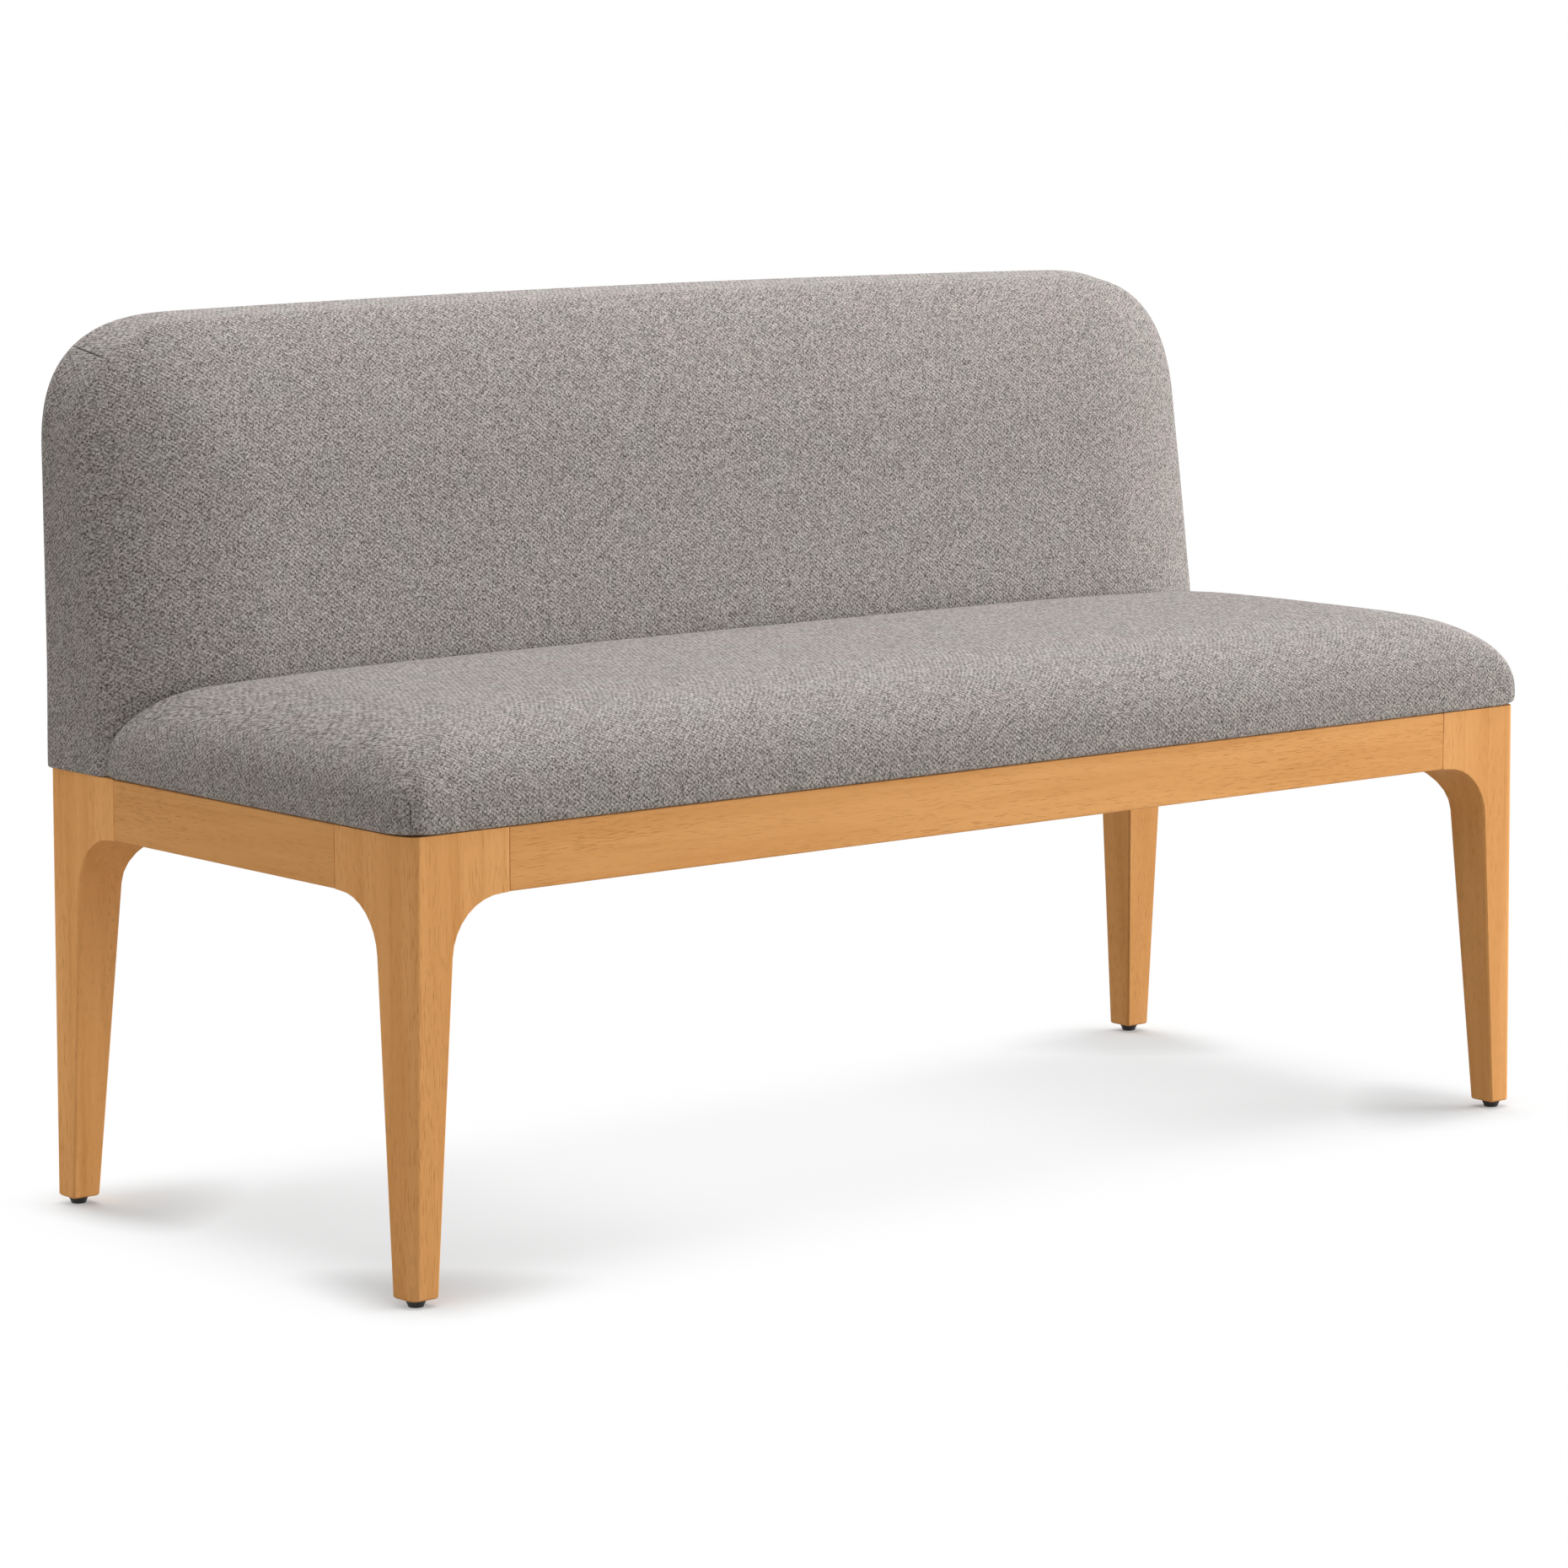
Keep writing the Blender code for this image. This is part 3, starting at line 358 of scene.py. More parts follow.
def finish_padding(made, held_height, *nodes):
    """Simulates and refines a padded cover, hides the CAD nodes that it stands for and attaches it to the
    bench.
    """
    inflate(made, held_height)
    smooth = made.modifiers.new("smooth", "SUBSURF")
    smooth.levels = 1
    smooth.render_levels = 1
    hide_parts(*nodes)
    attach(made, BENCH)


def lay_seam(name, cover, path, radius, material):
    """Thin sewn seam along a path, laid on the surface of a cover and fading out at both ends."""
    skin = BVHTree.FromObject(cover, bpy.context.evaluated_depsgraph_get())
    found = [skin.find_nearest(Vector(point)) for point in resample(np.asarray(path), SEAM_STEPS)]
    centres = np.array([spot - normal * SEAM_SINK for spot, normal, _, _ in found])
    normals = np.array([normal for _, normal, _, _ in found])
    sides = np.cross(np.gradient(centres, axis=0), normals)
    sides /= np.linalg.norm(sides, axis=1)[:, None]
    along = np.linspace(SEAM_END, 1 - SEAM_END, SEAM_STEPS + 1)
    widths = radius * np.sqrt(np.sin(along * math.pi))
    rings = []
    for angle in np.linspace(0, 2 * math.pi, SEAM_SIDES, endpoint=False):
        rings.append(centres + (math.cos(angle) * sides + math.sin(angle) * normals) * widths[:, None])
    points = np.stack(rings, axis=1).reshape(-1, 3)
    ends = [range(SEAM_SIDES), range(SEAM_SIDES * SEAM_STEPS, SEAM_SIDES * (SEAM_STEPS + 1))]
    made = add_mesh(name, points, ends + ring_faces(SEAM_STEPS + 1, SEAM_SIDES), material)
    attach(made, BENCH)


# Shader nodes

class Nodes:
    """The nodes of a material or of the world, with short calls to add to them."""

    def __init__(self, owner):
        owner.use_nodes = True
        self.owner = owner
        self.tree = owner.node_tree
        self.tree.nodes.clear()

    def add(self, kind, inputs=None, **settings):
        """New node with its settings, and each input given as a value or as a socket to link."""
        made = self.tree.nodes.new(kind)
        for key, value in settings.items():
            setattr(made, key, value)
        for key, value in (inputs or {}).items():
            if isinstance(value, bpy.types.NodeSocket):
                self.tree.links.new(value, made.inputs[key])
            else:
                made.inputs[key].default_value = value
        return made

    def math(self, operation, a, b=0.0, c=0.0):
        """Result of one sum on numbers."""
        return self.add("ShaderNodeMath", {0: a, 1: b, 2: c}, operation=operation).outputs[0]

    def seen_directly(self):
        """1 for rays from the camera and for those that a mirror or glass sends on, else 0."""
        path = self.add("ShaderNodeLightPath").outputs
        shown = self.math("MAXIMUM", path["Is Camera Ray"], path["Is Glossy Ray"])
        return self.math("MAXIMUM", shown, path["Is Transmission Ray"])


class Finish(Nodes):
    """A material's nodes, with short calls for the few kinds that finishes use."""

    def __init__(self, name):
        super().__init__(bpy.data.materials.new(name))
        self.place = self.add("ShaderNodeTexCoord").outputs["Object"]

    def spread(self, value, low, high, to_low=0.0, to_high=1.0):
        """A value brought smoothly from one range to another."""
        inputs = {"Value": value, "From Min": low, "From Max": high, "To Min": to_low, "To Max": to_high}
        return self.add("ShaderNodeMapRange", inputs, interpolation_type="SMOOTHSTEP").outputs[0]

    def stretched(self, scale, offset=(0, 0, 0)):
        """Object coordinates with their own scale on each axis."""
        inputs = {"Vector": self.place, "Location": offset, "Scale": scale}
        return self.add("ShaderNodeMapping", inputs).outputs[0]

    def noise(self, vector, scale=1.0, detail=2.0, roughness=0.5, distortion=0.0):
        """Noise from 0 to 1."""
        inputs = {"Vector": vector, "Scale": scale, "Detail": detail, "Roughness": roughness,
                  "Distortion": distortion}
        return self.add("ShaderNodeTexNoise", inputs).outputs[0]

    def mix(self, share, a, b, blend="MIX"):
        """Mixed colour."""
        inputs = {0: share, 6: a, 7: b}
        return self.add("ShaderNodeMix", inputs, data_type="RGBA", blend_type=blend).outputs[2]

    def bump(self, height, distance, strength=1.0):
        """Normal of a raised surface."""
        inputs = {"Height": height, "Distance": distance, "Strength": strength}
        return self.add("ShaderNodeBump", inputs).outputs[0]

    def result(self, shader):
        """The material, with a shader as its surface."""
        self.add("ShaderNodeOutputMaterial", {"Surface": shader.outputs[0]})
        return self.owner

    def surface(self, inputs):
        """The material, with a principled shader as its surface."""
        return self.result(self.add("ShaderNodeBsdfPrincipled", inputs))


def shade(red, green, blue):
    """A colour as a shader takes it."""
    return (red, green, blue, 1.0)


def toned(colour, painted_shading):
    """A colour scaled by a factor that paints in light and shade."""
    return shade(*(painted_shading * part for part in colour[:3]))


# Finishes

WOOD_LIGHT = shade(0.884, 0.454, 0.170)
WOOD_MID = shade(0.776, 0.374, 0.128)
WOOD_STREAK = shade(0.614, 0.259, 0.069)
WOOD_PORE = shade(0.49, 0.185, 0.042)
GRAIN_AXES = {"x": 0, "y": 1, "z": 2}
# Painted light: these boards are made lighter than the rest, standing in for light that their faces lack.
BOARD_PAINTED_LIGHT = {"rear_leg_left": 1.15, "front_leg_left": 1.06}


def wood_finish(name, axis, offset, painted_shading):
    """Oiled honey wood with darker streaks and short dark pores along one axis, all its colours scaled by
    a factor of painted light.
    """
    g = Finish(name)
    # Painted light: the board's wood colours are scaled by its painted light factor.
    light, mid = toned(WOOD_LIGHT, painted_shading), toned(WOOD_MID, painted_shading)

    def along(across, lengthwise):
        scale = [across] * 3
        scale[GRAIN_AXES[axis]] = lengthwise
        return g.stretched(scale, offset)

    broad = g.spread(g.noise(along(34, 2.2), detail=3, roughness=0.55, distortion=0.3), 0.30, 0.70)
    fine = g.spread(g.noise(along(210, 5.0), detail=3, roughness=0.6), 0.35, 0.72)
    streak = g.spread(g.noise(along(95, 3.5), detail=4, roughness=0.6, distortion=0.2), 0.52, 0.80)
    cluster = g.spread(g.noise(along(22, 3.0), detail=2), 0.35, 0.65)
    pore = g.spread(g.noise(along(1500, 70), detail=1.5, roughness=0.4), 0.58, 0.70)
    pore = g.math("MULTIPLY", pore, g.math("MULTIPLY_ADD", cluster, 0.75, 0.5))
    colour = g.mix(broad, mid, light)
    colour = g.mix(g.math("MULTIPLY", fine, 0.35), colour, mid)
    colour = g.mix(g.math("MULTIPLY", streak, 0.38), colour, WOOD_STREAK)
    colour = g.mix(g.math("MULTIPLY", pore, 0.38), colour, WOOD_PORE)
    height = g.math("SUBTRACT", g.math("MULTIPLY", fine, 0.3), pore)
    return g.surface({
        "Base Color": colour,
        "Roughness": g.spread(broad, 0, 1, 0.46, 0.38),
        "Normal": g.bump(height, 0.00012),
        "Specular IOR Level": 0.015,
    })


FABRIC_MEAN = shade(0.319, 0.288, 0.274)
ROSY_TINT = shade(1.014, 0.996, 1.006)
MOSSY_TINT = shade(0.981, 1.014, 0.992)
THREAD_WIDTH = 0.0026
THREAD_RISE = 0.00215
FLECK_SIZE = 0.0014
TOP_STRETCH = 0.45
THREAD_WANDER = 1.2
CROSSING_SHARE = 0.22
FLECK_SHARE = 0.40
YARN_GRAIN_SHARE = 0.45
DARKEST_LEVEL = 0.15


def fabric_finish(name, painted_shading=1.0):
    """Heathered plain weave: light and dark crossings, uneven yarn, and faint rosy and greenish clouds; a
    factor below 1 paints shade into a darker copy, as for the seams.
    """
    g = Finish(name)
    normal = g.add("ShaderNodeSeparateXYZ", {0: g.add("ShaderNodeTexCoord").outputs["Normal"]})
    x, y, z = g.add("ShaderNodeSeparateXYZ", {0: g.place}).outputs
    ragged = g.spread(g.noise(g.place, 160), 0, 1, 0.55, 0.85)
    at_end = g.math("GREATER_THAN", g.math("ABSOLUTE", normal.outputs[0]), ragged)
    facing = g.math("SUBTRACT", 1.0, at_end)
    across = g.math("ADD", g.math("MULTIPLY", facing, x), g.math("MULTIPLY", at_end, y))
    upwards = g.math("MULTIPLY_ADD", g.math("MULTIPLY", facing, TOP_STRETCH), y, z)
    drift = g.math("SUBTRACT", g.noise(g.place, 70, detail=2), 0.5)
    sway = g.math("SUBTRACT", g.noise(g.stretched((90, 90, 90), (7, 3, 5)), detail=2), 0.5)
    column = g.math("MULTIPLY_ADD", drift, THREAD_WANDER, g.math("DIVIDE", across, THREAD_WIDTH))
    row = g.math("MULTIPLY_ADD", sway, THREAD_WANDER, g.math("DIVIDE", upwards, THREAD_RISE))
    column_wave = g.math("SINE", g.math("MULTIPLY", column, math.pi))
    row_wave = g.math("SINE", g.math("MULTIPLY", row, math.pi))
    crossing = g.math("MULTIPLY", column_wave, row_wave)
    fleck_column = g.math("FLOOR", g.math("MULTIPLY", column, THREAD_WIDTH / FLECK_SIZE))
    fleck_row = g.math("FLOOR", g.math("MULTIPLY", row, THREAD_RISE / FLECK_SIZE))
    cell = g.add("ShaderNodeCombineXYZ", {0: fleck_column, 1: fleck_row, 2: at_end})
    chance = g.add("ShaderNodeTexWhiteNoise", {0: cell.outputs[0]}).outputs[0]
    yarn_grain = g.noise(g.stretched((900, 900, 700)), detail=1)

    level = g.math("MULTIPLY_ADD", crossing, CROSSING_SHARE, 1.0)
    level = g.math("ADD", level, g.spread(chance, 0, 1, -FLECK_SHARE, FLECK_SHARE))
    level = g.math("ADD", level, g.spread(yarn_grain, 0.25, 0.75, -YARN_GRAIN_SHARE, YARN_GRAIN_SHARE))
    level = g.math("MAXIMUM", level, DARKEST_LEVEL)
    cloud = g.noise(g.place, 28, detail=2)
    # Painted shade: the tints are scaled down for the darkened seam copy.
    tint = g.mix(g.spread(cloud, 0.35, 0.65), toned(ROSY_TINT, painted_shading), toned(MOSSY_TINT, painted_shading))
    yarn = g.mix(1.0, FABRIC_MEAN, tint, "MULTIPLY")
    grey = g.add("ShaderNodeCombineColor", {0: level, 1: level, 2: level}).outputs[0]
    height = g.math("MULTIPLY_ADD", yarn_grain, 0.5, g.math("MULTIPLY", crossing, 0.5))
    return g.surface({
        "Base Color": g.mix(1.0, yarn, grey, "MULTIPLY"),
        "Roughness": 0.95,
        "Normal": g.bump(height, 0.0004),
        "Specular IOR Level": 0.15,
        "Sheen Weight": 0.10,
        "Sheen Roughness": 0.5,
    })


def hidden_wood_finish():
    """Pale unfinished hardwood of the inner pieces."""
    g = Finish("raw_hardwood")
    grain = g.noise(g.stretched((14, 160, 160)), detail=4, roughness=0.6, distortion=0.4)
    pore = g.spread(g.noise(g.stretched((90, 1200, 1200)), detail=1), 0.60, 0.72)
    colour = g.mix(g.spread(grain, 0.3, 0.7), shade(0.56, 0.39, 0.21), shade(0.68, 0.51, 0.31))
    colour = g.mix(g.math("MULTIPLY", pore, 0.4), colour, shade(0.33, 0.20, 0.09))
    height = g.math("SUBTRACT", grain, pore)
    return g.surface({"Base Color": colour, "Roughness": 0.62, "Normal": g.bump(height, 0.0002)})


def plywood_finish():
    """Birch plywood: long figure on the faces and layered edges."""
    g = Finish("birch_plywood")
    figure = g.noise(g.stretched((9, 55, 55)), detail=4, roughness=0.6, distortion=0.8)
    face = g.mix(g.spread(figure, 0.35, 0.65), shade(0.60, 0.44, 0.25), shade(0.72, 0.56, 0.36))
    inputs = {"Vector": g.stretched((0, 60, 330)), "Scale": 1.0, "Distortion": 0.4}
    bands = g.add("ShaderNodeTexWave", inputs, wave_type="BANDS", bands_direction="DIAGONAL")
    layers = bands.outputs["Fac"]
    layered = g.mix(g.math("MULTIPLY", layers, 0.35), face, shade(0.40, 0.26, 0.13))
    return g.surface({"Base Color": layered, "Roughness": 0.66, "Normal": g.bump(figure, 0.0002)})


CLOTH_WAVES = 3900


def dust_cloth_finish():
    """Thin black bonded cloth with a fine cross-laid mark."""
    g = Finish("black_dust_cloth")
    x, y, _ = g.add("ShaderNodeSeparateXYZ", {0: g.place}).outputs
    long_wave, deep_wave = [g.math("SINE", g.math("MULTIPLY", run, CLOTH_WAVES)) for run in (x, y)]
    weave = g.math("MULTIPLY", long_wave, deep_wave)
    fuzz = g.noise(g.place, 900, detail=3)
    level = g.math("ADD", g.spread(weave, -1, 1, 0.0, 0.5), g.math("MULTIPLY", fuzz, 0.5))
    colour = g.mix(level, shade(0.012, 0.012, 0.013), shade(0.038, 0.037, 0.036))
    return g.surface({"Base Color": colour, "Roughness": 0.95, "Normal": g.bump(level, 0.0002)})


def steel_finish():
    """Zinc-plated steel with a fine turned mark."""
    g = Finish("zinc_steel")
    mottle = g.noise(g.place, 700, detail=3)
    scratch = g.noise(g.stretched((3000, 3000, 300)), detail=2)
    colour = g.mix(g.spread(mottle, 0.3, 0.7), shade(0.56, 0.57, 0.57), shade(0.70, 0.70, 0.67))
    return g.surface({
        "Base Color": colour,
        "Metallic": 1.0,
        "Roughness": g.spread(scratch, 0.3, 0.7, 0.30, 0.44),
        "Normal": g.bump(scratch, 0.00004),
    })


def plastic_finish():
    """Black moulded plastic with a fine grain."""
    g = Finish("black_moulded_plastic")
    grain = g.noise(g.place, 2400, detail=2)
    wear = g.noise(g.place, 260, detail=3)
    colour = g.mix(g.spread(wear, 0.4, 0.8), shade(0.012, 0.011, 0.011), shade(0.030, 0.028, 0.026))
    return g.surface({
        "Base Color": colour,
        "Roughness": g.spread(wear, 0.3, 0.7, 0.42, 0.55),
        "Normal": g.bump(grain, 0.00008),
    })


# Meeting of the seat and the back

def back_top(x):
    """Height of the back's arched upper edge."""
    return BACK_HIGH.z - BACK_ARCH * np.minimum(1, (x / HALF_WIDTH) ** 2)


def edge_fall(x, z):
    """How far the front of the back falls away towards its ends and its top."""
    power = BACK_CORNER_ROUNDNESS
    from_end = HALF_WIDTH - BACK_END_TAPER - np.abs(x)
    from_top = back_top(x) - BACK_TOP_TAPER - z
    beside = np.maximum(0, 1 - from_end / BACK_CORNER[0]) ** power
    above = np.maximum(0, 1 - from_top / BACK_CORNER[1]) ** power
    both = np.maximum(beside + above, 1e-12)
    depth = (BACK_END_FALL * beside + BACK_TOP_FALL * above) / both
    share = np.minimum(1, both) ** (BACK_EDGE_ROUNDNESS / power)
    return depth * (1 - (1 - share) ** (1 / BACK_EDGE_ROUNDNESS))


def seat_rear_y(x):
    """Rear edge of the seat, which follows the rounded ends of the back."""
    return BACK_LOW.y - SEAT_GAP + edge_fall(x, CUSHION_BOTTOM)


# Seat

def seat_plan(side_inset, rear_inset, corner_radius):
    """Four runs round the seat's plan, from the middle of the front left corner."""
    x = HALF_WIDTH - side_inset
    front = SEAT_LOW.y + side_inset
    r, q = corner_radius, SEAT_REAR_RADIUS
    rear_run = np.linspace(x - q, -x + q, SEAT_REAR_POINTS)
    rear_run = np.stack([rear_run, seat_rear_y(rear_run) - rear_inset], axis=1)
    rear = rear_run[0, 1]
    front_left, front_right = (-x + r, front + r), (x - r, front + r)
    rear_right, rear_left = (x - q, rear - q), (-x + q, rear - q)
    places = [(front_left, r), (front_right, r), (rear_right, q), (rear_left, q)]
    between = {2: [rear_run[1:-1]]}
    runs = []
    for turn in range(4):
        centre, radius = places[turn]
        next_centre, next_radius = places[(turn + 1) % 4]
        middle = 270 + 90 * turn
        leaving = arc(centre, radius, middle - 45, middle)
        arriving = arc(next_centre, next_radius, middle, middle + 45)
        runs.append(np.concatenate([leaving, *between.get(turn, []), arriving]))
    return runs


def seat_levels():
    """Inset, rear inset, height and corner radius of each ring from the hem up to the crown."""
    low = CUSHION_BOTTOM
    hem = SEAT_HEM_CORNER_RADIUS
    levels = []
    for past, raised in SEAT_HEM_RINGS:
        inset = HEM_WIDTH + past
        levels.append((inset, inset, low + HEM_RISE * raised, hem))
    edge = SEAT_EDGE_RADIUS
    for turn in np.radians([0, 30, 60, 90]):
        inset = edge * (1 - math.sin(turn))
        share = math.sin(turn)
        radius = hem + (SEAT_CORNER_RADIUS - hem) * share
        levels.append((inset, inset, low + edge * (1 - math.cos(turn)), radius))
    shoulder = low + SEAT_SIDE_HEIGHT
    power = 2 / SEAT_ROUNDNESS
    for turn in np.radians(np.linspace(0, SEAT_SLOPE_END, SEAT_SLOPE_STEPS + 1)):
        inwards = 1 - math.cos(turn) ** power
        inset = SEAT_SLOPE_WIDTH * inwards
        height = shoulder + SEAT_RISE * math.sin(turn) ** power
        radius = SEAT_CORNER_RADIUS + SEAT_CORNER_GROWTH * inset
        levels.append((inset, SEAT_REAR_SLOPE * inwards, height, radius))
    return levels


def drop_rear_corners(points):
    """Lowers the seat towards its two rear upper corners, where the cover is pulled down."""
    from_end = HALF_WIDTH - np.abs(points[:, 0])
    from_rear = seat_rear_y(points[:, 0]) - points[:, 1]
    rise = (points[:, 2] - CUSHION_BOTTOM - SEAT_SIDE_HEIGHT) / SEAT_RISE
    share = np.exp(-(from_end + from_rear) / REAR_CORNER_REACH) * np.clip(rise, 0, 1)
    points[:, 2] -= REAR_CORNER_DROP * share


def make_seat(material, seam_material):
    """Padded seat with crowned top, rounded sides and a turned-in hem."""
    wide = round(2 * HALF_WIDTH / GRID_STEP)
    deep = round((SEAT_HIGH.y - SEAT_LOW.y) / GRID_STEP)
    rings = []
    for side_inset, rear_inset, z, radius in seat_levels():
        plan = ring_of(seat_plan(side_inset, rear_inset, radius), (wide, deep, wide, deep))
        rings.append(np.column_stack([plan, np.full(len(plan), z)]))
    top = cap_of(rings[-1], wide, deep)
    top[..., 2] += SEAT_CROWN * crown_share(top, SEAT_CROWN_REACH)
    made = closed_form("seat_padding", rings, [cap_of(rings[0], wide, deep), top], material)
    points = get_points(made.data)
    drop_rear_corners(points)
    set_points(made.data, points)
    finish_padding(made, SEAT_HELD_HEIGHT, "seat_cover", "seat_foam")
    angle = math.radians(CORNER_SEAM_ANGLE)
    x = HALF_WIDTH - SEAT_CORNER_RADIUS * (1 - math.cos(angle))
    y = SEAT_LOW.y + SEAT_CORNER_RADIUS * (1 - math.sin(angle))
    for flank, side in FLANKS.items():
        path = [(side * x, y, CUSHION_BOTTOM + rise) for rise in (HEM_RISE, CORNER_SEAM_HEIGHT)]
        lay_seam(f"seat_corner_seam_{flank}", made, path, CORNER_SEAM_RADIUS, seam_material)


# Back

def back_front_y(x, z):
    """Front of the back: upright behind the seat, then leaning back, and falling away to its edge."""
    return BACK_LOW.y + BACK_LEAN * np.maximum(0, z - BACK_LEAN_START) + edge_fall(x, z)


def soft_quarter(centre, size, roundness, start, end):
    """Part of a superellipse in a plane, angles in degrees."""
    power = 2 / roundness
    angles = np.radians(np.linspace(start, end, QUARTER_STEPS + 1))
    u = np.sign(np.cos(angles)) * np.abs(np.cos(angles)) ** power
    v = np.sign(np.sin(angles)) * np.abs(np.sin(angles)) ** power
    return np.asarray(centre) + np.asarray(size) * np.stack([u, v], axis=1)


def back_outline(half, high, corner, bottom_inset, counts):
    """Ring of (x, z) points round the back's front view, from the middle of the lower left corner."""
    low = CUSHION_BOTTOM + bottom_inset
    (w, h), q = corner[0], BACK_BOTTOM_RADIUS
    low_left, low_right = (-half + q, low + q), (half - q, low + q)
    high_left, high_right = (-half + w, high - h), (half - w, high - h)
    runs = [
        [arc(low_left, q, 225, 270), arc(low_right, q, 270, 315)],
        [arc(low_right, q, 315, 360), soft_quarter(high_right, *corner, 0, 45)],
        [soft_quarter(high_right, *corner, 45, 90), soft_quarter(high_left, *corner, 90, 135)],
        [soft_quarter(high_left, *corner, 135, 180), arc(low_left, q, 180, 225)],
    ]
    outline = ring_of([np.concatenate(run) for run in runs], counts)
    straight_height = back_top(HALF_WIDTH) - h - BACK_LEAN_START
    side_share = np.maximum(0, 1 - (outline[:, 0] / HALF_WIDTH) ** 2)
    height_share = np.clip((outline[:, 1] - BACK_LEAN_START) / straight_height, 0, 1)
    outline[:, 1] += BACK_ARCH * side_share * height_share
    return outline


def back_front_ring(shrunk, bottom_inset, counts):
    """Ring on the falling edge of the front face, drawn in by a share of the corners' size."""
    w, h = BACK_CORNER
    half = HALF_WIDTH - BACK_END_TAPER - w * shrunk
    high = back_top(HALF_WIDTH) - BACK_TOP_TAPER - h * shrunk
    corner = ((w * (1 - shrunk), h * (1 - shrunk)), BACK_CORNER_ROUNDNESS)
    x, z = back_outline(half, high, corner, bottom_inset, counts).T
    return np.column_stack([x, back_front_y(x, z), z])


def back_rear_ring(turn, counts):
    """Ring on the rounded edge of the rear face, which leans back a little at the top."""
    drawn_in = 1 - math.sin(turn)
    inset = BACK_REAR_RADIUS * drawn_in
    w, h = BACK_REAR_CORNER
    corner = ((w - inset, h - inset), BACK_REAR_CORNER_ROUNDNESS)
    high = back_top(HALF_WIDTH) - inset
    x, z = back_outline(HALF_WIDTH - inset, high, corner, BACK_REAR_BOTTOM_RADIUS * drawn_in, counts).T
    rise = np.clip((z - BACK_REAR_LEAN_START) / BACK_REAR_LEAN_HEIGHT, 0, 1)
    lean = BACK_REAR_LEAN * rise * rise * (3 - 2 * rise)
    y = BACK_HIGH.y - BACK_REAR_RADIUS * (1 - math.cos(turn)) + lean
    return np.column_stack([x, y, z])


def back_rings(counts):
    """Rings of the back from the edge of its front face round to the edge of its rear face."""
    turns = np.radians(np.linspace(BACK_FRONT_START, 90, BACK_FRONT_STEPS + 1))
    shrinks = 1 - np.sin(turns) ** (2 / BACK_EDGE_ROUNDNESS)
    upright = (BACK_LEAN_START - CUSHION_BOTTOM) / shrinks[0]
    rings = [back_front_ring(shrunk, upright * shrunk, counts) for shrunk in shrinks]
    rear_turns = np.radians(np.linspace(90, 0, BACK_REAR_STEPS + 1))
    front, rear = rings[-1], back_rear_ring(rear_turns[0], counts)
    for share in BACK_DEPTH_SHARES:
        ring = front + (rear - front) * share
        if share < BACK_DEPTH_SHARES[-1]:
            over_cloth = np.abs(ring[:, 0]) < BACK_CLOTH_HIGH.x + BACK_CLOTH_MARGIN
            under = ring[:, 2] < CUSHION_BOTTOM + BACK_UNDERSIDE_HEIGHT
            ring[over_cloth & under, 2] += HEM_RISE
        rings.append(ring)
    return rings + [back_rear_ring(turn, counts) for turn in rear_turns[1:]]


def back_dart_path(side):
    """Course of the dart over an upper corner, from the rear edge to a little way down the front."""
    angle = math.radians(DART_ANGLE)

    def corner_point(end_taper, top_taper, size, roundness, share):
        across = share * math.cos(angle) ** (2 / roundness) - 1
        upwards = share * math.sin(angle) ** (2 / roundness) - 1
        x = HALF_WIDTH - end_taper + size[0] * across
        return x, back_top(x) - top_taper + size[1] * upwards

    x, z = corner_point(0, 0, BACK_REAR_CORNER, BACK_REAR_CORNER_ROUNDNESS, 1)
    path = [(side * x, BACK_HIGH.y - DART_REAR_GAP, z)]
    for share in np.linspace(1, DART_END_SHARE, DART_FRONT_POINTS):
        x, z = corner_point(BACK_END_TAPER, BACK_TOP_TAPER, BACK_CORNER, BACK_CORNER_ROUNDNESS, share)
        path.append((side * x, back_front_y(x, z), z))
    return path


def make_back(material, seam_material):
    """Padded back with a crowned leaning front, rounded upper corners and a closed rear."""
    wide = round(2 * HALF_WIDTH / GRID_STEP)
    high = round((BACK_HIGH.z - BACK_LOW.z) / GRID_STEP)
    rings = back_rings((wide, high, wide, high))
    front = cap_of(rings[0], wide, high)
    front[..., 1] = back_front_y(front[..., 0], front[..., 2])
    rear = cap_of(rings[-1], wide, high)
    rear[..., 1] += BACK_REAR_CROWN * crown_share(rear, BACK_REAR_CROWN_REACH)
    made = closed_form("back_padding", rings, [front, rear], material)
    finish_padding(made, BACK_HELD_HEIGHT, "back_cover", "back_foam", "back_wadding")
    for flank, side in FLANKS.items():
        lay_seam(f"back_dart_{flank}", made, back_dart_path(side), DART_RADIUS, seam_material)


# Wooden frame

BOARD_STEP = (3.7, 5.3, 1.9)


def make_frame():
    """Legs and rails, each from its own board."""
    grain = {}
    for corner in CORNERS:
        row, flank = corner.split("_")
        grain[f"{row}_leg_{flank}"] = "z"
    grain |= {"front_rail": "x", "rear_rail": "x", "side_rail_left": "y", "side_rail_right": "y"}
    for number, (node, axis) in enumerate(grain.items()):
        offset = tuple(step * number for step in BOARD_STEP)
        # Painted light: some boards' colours are made lighter in place of light that falls short on them.
        painted_shading = BOARD_PAINTED_LIGHT.get(node, 1.0)
        made = polished(node, wood_finish(f"wood_{node}", axis, offset, painted_shading))


# Feet

